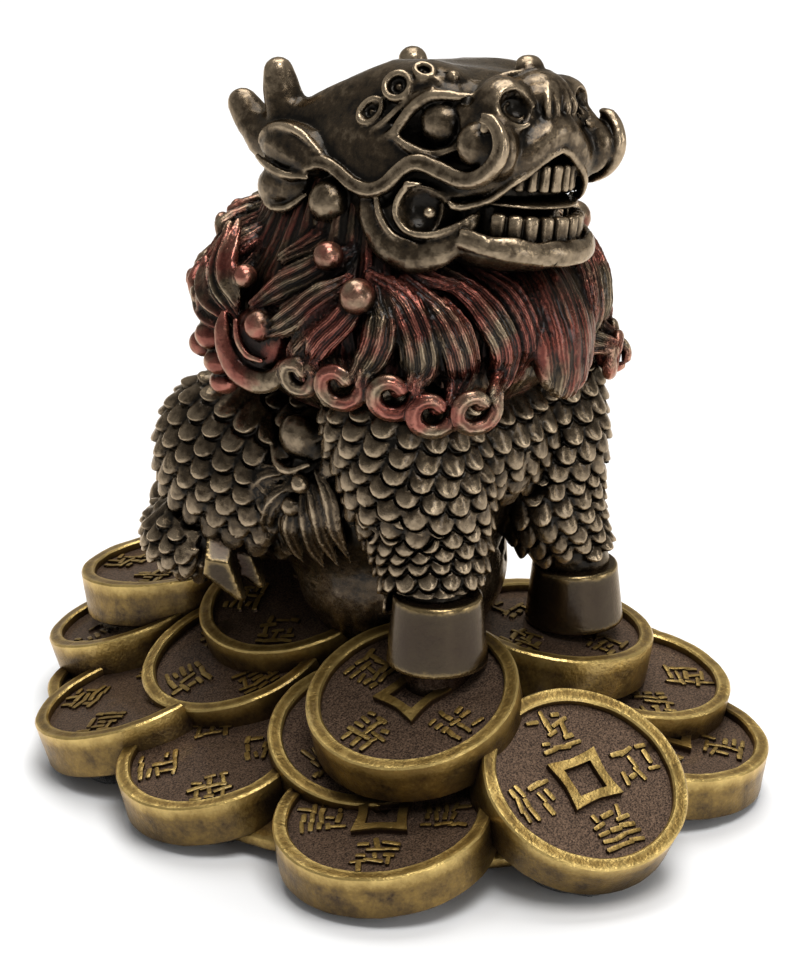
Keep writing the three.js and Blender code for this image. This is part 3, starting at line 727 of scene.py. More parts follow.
def side_scroll(clay):
    """The big smooth scroll behind the curls, a ball in its hollow, and the leaves that fan out of it."""
    away = (-1, 0.1, 0)
    clay.egg((-21.4, 3.6, 58.6), (2, 3.8, 4), blend=0.3)
    clay.egg((-24.6, 2.6, 59), (1.8, 3.0, 3.4), cut=True, blend=0.6)
    ribbon = [(22.6, 8.2, 61), (23, 8, 59), (23.1, 7.2, 56.8), (23, 5.8, 55), (22.9, 3, 54.2),
              (22.9, 0.4, 55), (22.8, -0.8, 57)]
    ribbon_widths = [0.5, 1.2, 1.5, 1.6, 1.5, 1.2, 0.6]
    clay.strand(right(ribbon), ribbon_widths, away=away, flat=0.75, blend=0.25, steps=30)
    thin = [(23.4, 5.6, 61), (23.5, 5.2, 58.8), (23.5, 3.8, 57.3), (23.4, 1.8, 57)]
    clay.strand(right(thin), [0.3, 0.45, 0.45, 0.3], away=away, blend=0.15, steps=18)
    clay.egg((-22.9, 2.4, 61), 1.8, blend=0.1)
    clay.egg((-21.2, 6.1, 65.6), (1.45, 1.4, 1.4), blend=0.1)
    fans = [
        [(21.6, 7.2, 61), (20.8, 10.4, 64.6), (17.4, 12, 69.6)],
        [(21.8, 6.8, 62.6), (21.2, 8.8, 66), (18.4, 9.6, 70.4)],
        [(21.4, 8.6, 60), (20.2, 13, 62), (17.4, 15.6, 64.8)],
        [(21.2, 9, 58.6), (19.8, 13.6, 59.6), (17.2, 16.8, 60.6)],
    ]
    for path, ribs in zip(fans, (3, 2, 2, 2)):
        clay.strand(right(path), [0.9, 1.9, 1.6, 0.7], away=from_mane, ribs=ribs, rib_depth=0.45, flat=0.8,
                    blend=0.15, steps=14, comb=1.5)
    lumps = [(20.4, 12, 57.2, 2.1), (20.4, 11, 54.2, 1.9), (19.8, 10.8, 51.6, 1.8), (18.4, 15, 55, 2)]
    for x, y, z, r in lumps:
        clay.egg((-x, y, z), (r, r, 0.85 * r), blend=0.2)


# Tiers of locks down the nape: height of the top and the foot, how far the foot swells out, how many
# locks, and how far the first is turned along its row
NAPE_TIERS = [(66, 54, 1.2, 5, 0), (70, 60, 1.4, 4, 0.5), (74.5, 66, 1.4, 3, 0)]
NAPE_PITCH = 15.5


def nape_locks(clay):
    """Three tiers of ribbed locks down the nape, each ending in a curl."""
    for top, foot, swell, count, first in NAPE_TIERS:
        for i in range(count):
            angle = 93 + (i + first - 0.3) * NAPE_PITCH
            middle = 0.5 * (top + foot)
            path = [on_mane(angle, top, -1.5), on_mane(angle + 1, middle + 1.5, 0.2),
                    on_mane(angle, foot + 2.4, swell)]
            clay.strand(path, [1.6, 2.7, 1.3], flat=0.55, away=from_mane, ribs=4, rib_depth=0.5, blend=0.2,
                        steps=14, wavy=0.09, comb=7)
            curl = snail(on_mane(angle + 2, foot + 0.6, swell + 0.4), 1.7, count=14)
            clay.egg(on_mane(angle + 2, foot + 0.6, swell + 0.3), 1.3, cut=True, blend=0.2)
            clay.strand([path[-1], *curl], [0.9, 0.7, 0.7, 0.6], away=from_mane, blend=0.12, steps=26)
            clay.egg(on_mane(angle + 1, foot + 1, swell), 0.75, blend=0.12)


def beard(clay):
    """The broad leaf of the beard, whose strands draw together at its tip."""
    leaf = [(0, -15.6, 68.8), (0, -20, 64.4), (0, -22, 60.4), (0, -23, 56.4), (0, -23.2, 52.2)]
    clay.strand(leaf, [4.2, 5.2, 5.8, 4.6, 0.4], away=(0, -1, 0.1), flat=0.46, ribs=5, rib_depth=0.5,
                blend=0.1, steps=26, wavy=0.1, comb=10)
    clay.strand([(0, -21.6, 66), (0, -24, 60.4), (0, -24.8, 56)], [0.25, 0.45, 0.2], blend=0.4)


def collar(clay):
    """The body of the mane, combed into fine ridges."""
    heights = [47, 50, 54, 58, 62, 65, 68, 71, 75, 80]
    reaches = [11, 16.2, 19.4, 20.4, 20.2, 19.2, 17, 15.4, 13.5, 11]

    def form(x, y, z):
        y = (y - 0.5) / MANE_STRETCH
        out = np.sqrt(x * x + y * y)
        skin = np.interp(z.ravel(), heights, reaches).reshape(z.shape)
        around = np.arctan2(y, x)
        comb = 0.25 * np.cos(46 * around + 0.16 * z) + 0.12 * np.cos(19 * around + 0.9 * np.sin(0.3 * z))
        return (out - skin - comb * np.clip((z - 50) / 3, 0, 1)) * 0.85

    def lines(x, y, z):
        return 24 * np.arctan2(y - 0.5, x) + 0.08 * z

    clay.press((-24, -24, 47), (0, 24, 79), form, lines=lines)


def sculpt_mane(grain):
    clay = Clay((-28, -27, 45), (0, 27, 83), grain)
    collar(clay)
    nape_locks(clay)
    side_scroll(clay)
    for way, widths, ribs in PLAIN_LOCKS:
        lock = [on_mane(*spot, lift=0.7) for spot in way]
        clay.strand(lock, widths, away=from_mane, ribs=ribs, rib_depth=0.5, flat=0.6, blend=0.1, steps=18,
                    wavy=0.08, comb=2.2 * ribs)
    for lock in CURLED_LOCKS:
        curled_lock(clay, *lock)
    beard(clay)
    for x, y, z, r in [(18.2, -3.8, 69.2, 1.75), (19.6, -9.2, 66, 2.05)]:
        clay.egg((-x, y, z), r, blend=0.12)
    whole = clay.mirrored()
    far_curl = hoop((15.2, -19, 52.2), (-0.5, -0.8, 0.3), 1.6, -20, 300)
    whole.strand(far_curl, [0.6, 0.8, 0.8, 0.5], blend=0.1, comb=1)
    return whole


# Body, legs and tail. The right half only.

# Rows of scales lie this share of a scale's width apart
SCALE_PITCH = 0.74
# How far from a path its skin is looked for
SKIN_REACH = 38.0
FORELEG_TOP = 38.0
HAUNCH_FOOT = 29.5
# Foot and top of the fore hooves
NEAR_HOOF = (21.6, 30.0)
FAR_HOOF = (18.4, 25.8)
# The foreleg's way down and its half widths
FORELEG = [(11, -8.5, 49), (10.6, -10.5, 42), (10.5, -12.2, 35), (12, -13.8, 29.5), (LEG_X, -15.2, 25.5)]
FORELEG_WIDTHS = [8.8, 8.4, 6.7, 5.2, 4.5]
# The ways that the scales point
TRUNK_WAY = [(0, -5, 57), (0, -2, 50), (0, 1, 42), (0, 4, 34), (0, 6, 28)]
SHANK_WAY = [(-12.4, 13, 44), (-12.6, 15, 38), (-12.8, 17, 32), (-13, 19, 25)]


def trunk(clay):
    clay.egg((0, -5.5, 45), (17, 12.5, 11))
    clay.egg((0, 4, 38), (16.5, 17.5, 16), blend=2)
    clay.egg((0, 16.5, 37), (13, 13.5, 15.5), blend=2)
    clay.egg((0, 1, 26), (13, 13, 12), blend=2)


def legs(clay):
    clay.strand(right(FORELEG), FORELEG_WIDTHS, away=(0, -1, 0), blend=0.8, steps=16)
    clay.egg((-12.4, 15.5, 38), (7, 11.6, 11.2), turn=(12, 0, 0), blend=0.6)
    shin = [(12.5, 26, 27.5), (15, 22, 28), (15.8, 18.6, 28.4), (15.4, 16.6, 28)]
    clay.strand(right(shin), [3.6, 4.8, 4.2, 2.6], blend=0.5)


def ring(skin, start, way, angles):
    """Where lines square to a direction last leave the skin, at angles from the animal's front."""
    front = unit(np.array((0, -1, 0)) + way * way[1])
    side = np.cross(way, front)
    directions = np.cos(angles)[:, None] * front + np.sin(angles)[:, None] * side
    return skin.surface_along(np.repeat(start[None], len(angles), axis=0), directions, SKIN_REACH)


def lay_scales(clay, skin, path, widths, lift, belongs):
    """Rows of scales round a path and pointing along it. Each row lies over the gaps of the one below."""
    rng = np.random.default_rng(3)
    places = smooth_path(path, 60)
    lengths = np.concatenate([[0], np.cumsum(np.linalg.norm(np.diff(places, axis=0), axis=1))])
    rows = [0.0]
    while rows[-1] < lengths[-1]:
        rows.append(rows[-1] + SCALE_PITCH * np.interp(rows[-1], (0, lengths[-1]), widths))
    for number, at in reversed(list(enumerate(rows))):
        width = np.interp(at, (0, lengths[-1]), widths)
        start, behind, ahead = (np.array([np.interp(at + step, lengths, places[:, k]) for k in range(3)])
                                for step in (0, -1, 1))
        way = unit(ahead - behind)
        angles = np.linspace(-math.pi, math.pi, 181)
        steps = np.linalg.norm(np.diff(ring(skin, start, way, angles), axis=0), axis=1)
        steps[np.isnan(steps) | (steps > 3)] = 0.01
        way_round = np.concatenate([[0], np.cumsum(steps)])
        count = max(6, round(way_round[-1] / width))
        spread = (np.arange(count) + 0.5 * (number % 2)) * way_round[-1] / count
        spots = ring(skin, start, way, np.interp(spread, way_round, angles))
        spots = spots[~np.isnan(spots[:, 0])]
        scales = []
        for spot, out in zip(spots, skin.outward(spots)):
            down = way - out * way.dot(out)
            if spot[0] < 0.6 and belongs(spot) and np.linalg.norm(down) > 0.35:
                scales.append((spot, out, unit(down), width * rng.uniform(0.94, 1.04), lift))
        for gap in (True, False):
            for scale in scales:
                clay.scale(*scale, gap)


def flank_tuft(clay):
    """The swelling on the flank with a curved edge under it, two beads and a spray of small leaves."""
    clay.egg((-15.8, 3, 45.5), (1.7, 2.8, 2.6), blend=0.6)
    edge = [(-15.9, 7.2, 44), (-16.9, 5.6, 42), (-17.4, 3.2, 41.6), (-17.1, 0.4, 43)]
    clay.strand(edge, [0.3, 0.6, 0.3], away=(-1, 0, 0), blend=0.15)
    leaves = [
        [(-16.6, -0.4, 42), (-16.9, -2.4, 39.4), (-16.2, -2.6, 35.6), (-14.2, -3.4, 31)],
        [(-17, 0.6, 40.6), (-17, -0.6, 37.4), (-15.8, -0.6, 33.6), (-14, -1.6, 29.6)],
        [(-17, 1.6, 38.6), (-16.6, 1.4, 35.4), (-15.4, 1.4, 32), (-14.2, 0.4, 29)],
        [(-17.2, 3, 37.4), (-16.9, 3.8, 34.6), (-15.8, 4, 31.8), (-14.8, 3.4, 29.4)],
        [(-17.2, 3.6, 39.4), (-17.3, 5.8, 37.4), (-16.9, 7.4, 34.6), (-16.4, 7.6, 32)],
        [(-16.8, 4.4, 41), (-17.3, 7, 40), (-17.6, 9, 37.6), (-17.8, 9.6, 35)],
    ]
    for path in leaves:
        clay.strand(path, [0.7, 1.6, 1.5, 0.3], away=(-1, 0, 0), ribs=2, rib_depth=0.3, flat=0.6, blend=0.1,
                    comb=2)
    for place in [(-17.6, 1.2, 40.6), (-17.5, 2.8, 37.4)]:
        clay.egg(place, 1.2, blend=0.1)


def hind_foot(clay):
    """The fetlock of the folded hind leg. Its cloven hoof is with the hooves."""
    clay.strand(right([(14.5, 18.5, 31), (15.4, 15.6, 30.6), (15.6, 14, 29.4)]), [3.2, 3.0, 2.0], blend=0.5)


def tail(clay):
    """A plume of locks up the rump, with a bead beside them."""
    for i in (-2, -1, 0):
        lean = abs(i)
        tip = (i * 3.8, 25.5 - lean, 48 - lean)
        path = [(i * 1.2, 28, 22), (i * 3.2, 31, 31), (i * 2.8, 29.6, 40), tip]
        clay.strand(path, [2.6, 3.1, 2.7, 1], away=(0, 1, 0.2), ribs=2, rib_depth=0.6, blend=0.15, comb=5)
    clay.egg((-10, 29.8, 29.8), (2.4, 2.2, 2.4), blend=0.2)


def copied(clay):
    """The clay as it is now, to measure on."""
    skin = copy(clay)
    skin.depth = clay.depth.copy()
    return skin


def sculpt_body(casting, grain):
    clay = Clay((-24, -25, 16), (0, 36, 60), grain)
    trunk(clay)
    trunk_skin = copied(clay)
    legs(clay)
    skin = copied(clay)
    clay.depth += 0.3
    width, small, lift = casting.scale_width, casting.small_scale, casting.scale_lift

    def on_upper(spot):
        lowest = FORELEG_TOP if spot[1] < 3 else HAUNCH_FOOT
        return spot[2] > lowest - 0.02 * spot[1]

    def off_trunk(spot, distance):
        return trunk_skin.at(spot[None])[0] > distance

    def on_foreleg(spot):
        return spot[1] < 2 and FAR_HOOF[1] + 1.7 < spot[2] < FORELEG_TOP + 3 and off_trunk(spot, 0.3)

    def on_shank(spot):
        return spot[1] > 17 and 24 < spot[2] < HAUNCH_FOOT + 2 and off_trunk(spot, 0.2)

    lay_scales(clay, skin, SHANK_WAY, (small, small), lift, on_shank)
    lay_scales(clay, skin, right(FORELEG), (width, small), lift, on_foreleg)
    lay_scales(clay, skin, TRUNK_WAY, (width, width), lift, on_upper)
    flank_tuft(clay)
    hind_foot(clay)
    tail(clay)
    whole = clay.mirrored()
    whole.brick((-LEG_X, -16.5, NEAR_HOOF[1] - 3), (6.4, 6.2, 3.7), cut=True)
    whole.strand([(-11.8, -13.5, 31), (-12.6, -14.8, 28)], [4.3, 4.1], blend=0.3)
    return whole


SOLE_RADIUS = 4.2
SOLE_FOOT = 17.8
# The toes of a hind hoof on the right side: middle and size
TOES = [((-18.4, 12.9, 27.6), 1.05), ((-15.6, 11.8, 28), 0.92)]
# The flat sides of a hind toe, each as the way it faces (across, up and out from the leg) and its distance
TOE_SIDES = [
    ((-0.99, 0.14, 0), 2.2), ((-0.63, -0.77, 0), 2.2), ((0.3, -0.95, 0), 4.4), ((0.98, 0.2, 0), 1.8),
    ((0.67, 0.74, 0), 2.7), ((-0.53, 0.85, 0), 3.6), ((0, 0.37, 0.93), 1.6), ((-0.2, -0.5, 0.84), 1.3),
    ((0.8, 0, 0.6), 1.44), ((0, 0, -1), 3.5),
]


def hind_toe(clay, side, middle, size):
    """One pointed toe of a cloven hind hoof, with flat sides."""
    out = unit((-0.65, -0.65, 0.4))
    across = unit((0.72, -0.69, 0))
    up = np.cross(out, across)
    sides = [(along(facing, across, up, out), distance * size) for facing, distance in TOE_SIDES]

    def form(x, y, z):
        place = (-side * x - middle[0], y - middle[1], z - middle[2])
        return np.maximum.reduce([along(way, *place) - distance for way, distance in sides]) + 0.05

    centre = np.array((-side * middle[0], middle[1], middle[2]))
    clay.press(centre - 6, centre + 6, form)


def fore_hoof(clay, side, foot, top):
    """A hoof slightly wider at the foot, with a narrower sole that reaches down to the coin."""
    middle = np.array((side * LEG_X, -15.5, 24))

    def form(x, y, z):
        part = np.clip((z - foot) / (top - foot), 0, 1)
        radius = 5.95 - 0.85 * part + 0.25 * np.clip(part - 0.85, 0, 1)
        out = np.sqrt((x - middle[0]) ** 2 + (y - middle[1]) ** 2)
        ends = np.maximum(foot - z, z - top)
        sole = np.maximum(out - SOLE_RADIUS, np.maximum(SOLE_FOOT - z, z - foot - 1))
        return np.minimum(-weld(radius - out, -ends, 0.5), sole)

    clay.press(middle - (6.6, 6.6, 7), middle + (6.6, 6.6, 8), form)


def sculpt_hooves(grain):
    clay = Clay((-22, -23, 15), (22, 20, 34), grain)
    for side, foot, top in ((-1, *NEAR_HOOF), (1, *FAR_HOOF)):
        fore_hoof(clay, side, foot, top)
        for middle, size in TOES:
            hind_toe(clay, side, middle, size)
    return clay


# Coins: x, y, z of the middle of the upper rim, radius, tilt, where the face leans to, a boss or not,
# and how far the coin is turned round its middle

COINS = [
    (-23, 24.6, 9.7, 12.1, 17.5, 127, False, 12),
    (-28.5, 6.2, 9.2, 11.4, 15.1, 168, False, 40),
    (-14.4, 14.9, 15.0, 12.0, 20, 164, False, 62),
    (-6.2, 12.5, 20.4, 12.1, 18, 171, False, 20),
    (-14.5, 30.5, 7, 12, 6, 120, False, 50),
    (-2.6, 36.4, 17.7, 11.7, 10, 98, False, 15),
    (-7.9, 38.2, 12.0, 11.5, 19.3, 117, False, 70),
    (-18, -15.8, 19.5, 12.4, 21.7, -166, True, -8),
    (-11.4, -36, 12.4, 12.2, 33.7, -113, True, -15),
    (-27.6, -19.5, 9.0, 12.6, 11.9, -175, True, 32),
    (-18.3, -10, 13.1, 12.1, 20.4, -147, False, 75),
    (12.3, -30.5, 8.3, 12.1, 8.9, -73, True, 28),
    (16.9, -22.3, 12.2, 11.6, 10.9, -75, False, 55),
    (10.4, -14.6, 18.8, 12.1, 8.4, -50, False, 8),
    (27.5, -8, 9.2, 12.1, 14, -15, True, 66),
    (28, 9.5, 8.6, 11.8, 12, 20, True, 24),
    (23.5, 25.5, 9.6, 12, 17, 45, True, 47),
    (10.5, 35.5, 10.4, 12, 16, 75, False, 81),
    (18.5, -1, 14.2, 12, 18, -10, False, 36),
    (17, 14.5, 14.6, 12, 16, 30, False, 5),
    (8, 25.5, 16.6, 11.8, 14, 60, False, 58),
    (7.5, 13.2, 19.4, 12, 12, 20, False, 30),
]


RIM_SIDES = 88
RIM_ROUNDING = 0.2
FIELD_SIDES = 64
COIN_UNEVENNESS = 0.24
# Length, width and height of a stroke, as shares of the bar it is drawn with
SHORTEST_STROKE = (1.2, 0.85, 0.75)
LONGEST_STROKE = (2.9, 1.25, 1.15)
# How worn the parts of a coin are: its wall, the top of its rim, its edges, whose bright line is partly a
# rubbed edge and partly a painted highlight, its sunk field and what is raised on the field
WALL_WEAR, TOP_WEAR, RIM_EDGE_WEAR_AND_HIGHLIGHT, FIELD_WEAR, RAISED_WEAR = 0.16, 0.36, 0.95, -1, 0.5
# Height, from a coin's upper rim, that its hidden points keep to under a coin that lies over it
PRESSED = -1.7


def live(sockets):
    """The first socket that is switched on."""
    return next(socket for socket in sockets if socket.enabled)


class Tree:
    """A geometry node tree under construction."""

    def __init__(self, name):
        self.tree = bpy.data.node_groups.new(name, "GeometryNodeTree")
        self.tree.is_modifier = True
        self.inputs = self.tree.nodes.new("NodeGroupInput")

    def socket(self, name, kind, default):
        item = self.tree.interface.new_socket(name, in_out="INPUT", socket_type=kind)
        if default is not None:
            item.default_value = default
        return item.identifier

    def node(self, kind, wires=None, **settings):
        node = self.tree.nodes.new(kind)
        for name, value in settings.items():
            setattr(node, name, value)
        for name, value in (wires or {}).items():
            socket = node.inputs[name]
            if isinstance(value, bpy.types.NodeSocket):
                self.tree.links.new(value, socket)
            else:
                socket.default_value = value
        return node

    def math(self, operation, *values):
        return self.node("ShaderNodeMath", dict(enumerate(values)), operation=operation).outputs[0]

    def vector(self, operation, *values):
        node = self.node("ShaderNodeVectorMath", dict(enumerate(values)), operation=operation)
        return node.outputs["Value" if operation in ("LENGTH", "DOT_PRODUCT") else "Vector"]

    def arrow(self, **parts):
        return self.node("ShaderNodeCombineXYZ", parts).outputs[0]

    def shifted(self, shape, **parts):
        """A shape moved along its axes."""
        move = {"Geometry": shape, "Translation": self.arrow(**parts)}
        return self.node("GeometryNodeTransform", move).outputs[0]

    def random(self, kind, seed, **limits):
        """A random value for each point."""
        return live(self.node("FunctionNodeRandomValue", {**limits, "Seed": seed}, data_type=kind).outputs)

    def join(self, *shapes):
        node = self.node("GeometryNodeJoinGeometry")
        for shape in shapes:
            self.tree.links.new(shape, node.inputs[0])
        return node.outputs[0]

    def finish(self, shape, material):
        real = self.node("GeometryNodeRealizeInstances", {"Geometry": shape}).outputs[0]
        painted = self.node("GeometryNodeSetMaterial", {"Geometry": real, "Material": material}).outputs[0]
        self.tree.interface.new_socket("Geometry", in_out="OUTPUT", socket_type="NodeSocketGeometry")
        end = self.tree.nodes.new("NodeGroupOutput")
        self.tree.links.new(painted, end.inputs[0])
        return self.tree


def coin_tree(sizes, material):
    """One coin in millimetres: rim, sunk field, square boss, and strokes in four places round it."""
    t = Tree("coin")
    names = {}
    for name, kind, default in [
        ("Radius", "NodeSocketFloat", 12.0),
        ("Thickness", "NodeSocketFloat", sizes.thickness),
        ("Rim", "NodeSocketFloat", sizes.rim),
        ("Recess", "NodeSocketFloat", sizes.recess),
        ("Boss", "NodeSocketFloat", sizes.boss),
        ("Hole", "NodeSocketFloat", sizes.hole),
        ("With boss", "NodeSocketBool", True),
        ("Stroke height", "NodeSocketFloat", sizes.stroke_height),
        ("Seed", "NodeSocketInt", 1),
    ]:
        names[name] = t.socket(name, kind, default)
    given = t.inputs.outputs
    rim = coin_rim(t, given)
    field = coin_field(t, given)
    boss = coin_boss(t, given)
    strokes = coin_strokes(t, given)
    whole = t.join(rim, field, boss, strokes)
    place = t.node("GeometryNodeInputPosition").outputs[0]
    moved = t.vector("ADD", place, t.arrow(X=t.math("MULTIPLY", given["Seed"], 37.7)))
    noise = t.node("ShaderNodeTexNoise", {"Vector": moved, "Scale": 0.3, "Detail": 2.0})
    push = t.vector("SCALE", t.vector("SUBTRACT", noise.outputs["Color"], (0.5, 0.5, 0.5)))
    push.node.inputs["Scale"].default_value = COIN_UNEVENNESS
    uneven = t.node("GeometryNodeSetPosition", {"Geometry": whole, "Offset": push}).outputs[0]
    return t.finish(uneven, material), names


def coin_rim(t, given):
    middle = t.math("SUBTRACT", given["Radius"], t.math("MULTIPLY", given["Rim"], 0.5))
    path = t.node("GeometryNodeCurvePrimitiveCircle", {"Resolution": RIM_SIDES, "Radius": middle})
    profile = t.node("GeometryNodeCurvePrimitiveQuadrilateral",
                     {"Width": given["Rim"], "Height": given["Thickness"]})
    soft = t.node("GeometryNodeFilletCurve", {"Curve": profile.outputs[0], "Radius": RIM_ROUNDING,
                                              "Limit Radius": True, "Count": 1}, mode="POLY")
    fine = t.node("GeometryNodeSubdivideCurve", {"Curve": soft.outputs[0], "Cuts": 2})
    swept = {"Curve": path.outputs[0], "Profile Curve": fine.outputs[0]}
    band = t.node("GeometryNodeCurveToMesh", swept)
    return t.shifted(band.outputs[0], Z=t.math("MULTIPLY", given["Thickness"], -0.5))


def coin_field(t, given):
    reach = t.math("SUBTRACT", given["Radius"], t.math("SUBTRACT", given["Rim"], 0.15))
    depth = t.math("SUBTRACT", given["Thickness"], t.math("ADD", given["Recess"], 0.1))
    measures = {"Vertices": FIELD_SIDES, "Side Segments": 1, "Fill Segments": 4, "Radius": reach,
                "Depth": depth}
    disc = t.node("GeometryNodeMeshCylinder", measures, fill_type="TRIANGLE_FAN")
    half = t.math("MULTIPLY", depth, 0.5)
    return t.shifted(disc.outputs[0], Z=t.math("SUBTRACT", t.math("MULTIPLY", given["Recess"], -1.0), half))


def square_curve(t, size, pull):
    """A square whose sides are pulled in between its corners."""
    square = t.node("GeometryNodeCurvePrimitiveQuadrilateral", {"Width": size, "Height": size})
    fine = t.node("GeometryNodeResampleCurve", {"Curve": square.outputs[0], "Count": 48})
    place = t.node("GeometryNodeInputPosition").outputs[0]
    apart = t.node("ShaderNodeSeparateXYZ", {0: place})
    less = t.math("MINIMUM", t.math("ABSOLUTE", apart.outputs[0]), t.math("ABSOLUTE", apart.outputs[1]))
    share = t.math("DIVIDE", less, t.math("MULTIPLY", size, 0.5))
    pulled = t.math("MULTIPLY", t.math("SUBTRACT", 1.0, t.math("POWER", share, 1.6)), pull)
    keep = t.math("SUBTRACT", 1.0, pulled)
    moved = t.vector("SCALE", place)
    t.tree.links.new(keep, moved.node.inputs["Scale"])
    return t.node("GeometryNodeSetPosition", {"Geometry": fine.outputs[0], "Position": moved}).outputs[0]


def coin_boss(t, given):
    outer = square_curve(t, t.math("MULTIPLY", given["Boss"], 1.16), 0.13)
    inner = square_curve(t, given["Hole"], 0.04)
    flat = t.node("GeometryNodeFillCurve", {"Curve": t.join(outer, inner)})
    tall = t.math("SUBTRACT", given["Recess"], 0.1)
    raised = t.node("GeometryNodeExtrudeMesh", {"Mesh": flat.outputs[0], "Offset": t.arrow(Z=1.0),
                                                "Offset Scale": tall, "Individual": False})
    base = t.node("GeometryNodeFlipFaces", {"Mesh": flat.outputs[0]}).outputs[0]
    closed = t.node("GeometryNodeMergeByDistance", {"Geometry": t.join(raised.outputs[0], base)}).outputs[0]
    down = t.math("MULTIPLY", given["Recess"], -1.0)
    placed = t.shifted(closed, Z=t.math("SUBTRACT", down, 0.05))
    return t.node("GeometryNodeSwitch", {"Switch": given["With boss"], "True": placed}).outputs[0]


def coin_strokes(t, given):
    """Four places with rows of short raised strokes, which aren't letters."""
    rows = t.node("GeometryNodeMeshGrid", {"Size X": 3.2, "Size Y": 4.1, "Vertices X": 3, "Vertices Y": 5})
    place = t.shifted(rows.outputs[0], Y=t.math("MULTIPLY", given["Radius"], 0.565))
    four = t.node("GeometryNodePoints", {"Count": 4})
    number = t.node("GeometryNodeInputIndex").outputs[0]
    quarter = t.math("MULTIPLY", number, math.pi / 2)
    copies = t.node("GeometryNodeInstanceOnPoints", {"Points": four.outputs[0], "Instance": place,
                                                     "Rotation": t.arrow(Z=quarter)})
    label = {"Geometry": copies.outputs[0], "Name": "quarter", "Value": quarter}
    kept = t.node("GeometryNodeStoreNamedAttribute", label, data_type="FLOAT", domain="INSTANCE")
    spots = t.node("GeometryNodeRealizeInstances", {"Geometry": kept.outputs[0]}).outputs[0]
    bar = t.node("GeometryNodeMeshCube", {"Size": (1.0, 0.66, 1.0)})
    round_bar = t.node("GeometryNodeSubdivisionSurface", {"Mesh": bar.outputs[0], "Level": 1,
                                                          "Edge Crease": 0.5}).outputs[0]
    angle = t.node("GeometryNodeInputNamedAttribute", {"Name": "quarter"}, data_type="FLOAT").outputs[0]
    skew = t.random("FLOAT", given["Seed"], Min=-0.28, Max=0.28)
    upright = t.random("BOOLEAN", given["Seed"], Probability=0.32)
    stand = t.math("MULTIPLY", upright, math.pi / 2)
    turn = t.math("ADD", t.math("ADD", angle, skew), stand)
    lengths = t.node("FunctionNodeRandomValue", {"Seed": t.math("ADD", given["Seed"], 50)},
                     data_type="FLOAT_VECTOR")
    lengths.inputs[0].default_value = SHORTEST_STROKE
    lengths.inputs[1].default_value = LONGEST_STROKE
    size = t.vector("MULTIPLY", live(lengths.outputs), t.arrow(X=1.0, Y=1.0, Z=given["Stroke height"]))
    drawn = t.random("BOOLEAN", t.math("ADD", given["Seed"], 9), Probability=0.82)
    strokes = t.node("GeometryNodeInstanceOnPoints", {
        "Points": spots, "Selection": drawn, "Instance": round_bar, "Rotation": t.arrow(Z=turn),
        "Scale": size})
    return t.shifted(strokes.outputs[0], Z=t.math("MULTIPLY", given["Recess"], -1.0))


def coin_wear(places, radius, sizes):
    """How worn each point of a coin is, from -1 in the sunk field to 1 on the rim's edges, whose thin
    bright line is partly a painted highlight.
    """
    out = np.linalg.norm(places[:, :2], axis=1)
    height = places[:, 2]
    inner = radius - sizes.rim
    wear = np.where(height > -0.5, TOP_WEAR, WALL_WEAR)
    # Painted highlight: the thin line along the rim's outer and inner edges gets the brightest colour, on
    # top of real rubbing
    edge = (height > -0.3) & ((np.abs(out - radius) < 0.35) | (np.abs(out - inner) < 0.25))
    wear[edge] = RIM_EDGE_WEAR_AND_HIGHLIGHT
    wear[(out < inner + 0.2) & (height < -sizes.recess + 0.12)] = FIELD_WEAR
    wear[(out < inner - 0.3) & (height > -sizes.recess + 0.2)] = RAISED_WEAR
    return wear


def under_others(places, coin):
    """Points of a coin pressed down where a higher coin lies over it. They are in the pile's frame."""
    for other in COINS:
        if other[2] > coin[2]:
            turn = coin_place(*other[:3], *other[4:6])
            local = (places - np.array(turn.translation)) @ np.array(turn.to_3x3())
            over = (np.hypot(local[:, 0], local[:, 1]) < other[3] - 0.3) & (local[:, 2] > PRESSED)
            local[over, 2] = PRESSED
            places = local @ np.array(turn.to_3x3()).T + np.array(turn.translation)
    return places


def coin_place(x, y, z, tilt, lean):
    """Where a coin lies: its upper rim's middle and the direction its face leans to."""
    tilt, lean = math.radians(tilt), math.radians(lean)
    face = Vector((math.sin(tilt) * math.cos(lean), math.sin(tilt) * math.sin(lean), math.cos(tilt)))
    turn = Vector((0, 0, 1)).rotation_difference(face).to_matrix().to_4x4()
    return Matrix.Translation(Vector((x, y, z)) - Vector(PILE_MIDDLE)) @ turn


def read_mesh(mesh):
    """A mesh's points and its faces, each a list of point numbers."""
    places = np.empty(len(mesh.vertices) * 3, np.float32)
    mesh.vertices.foreach_get("co", places)
    return places.reshape(-1, 3), [list(face.vertices) for face in mesh.polygons]


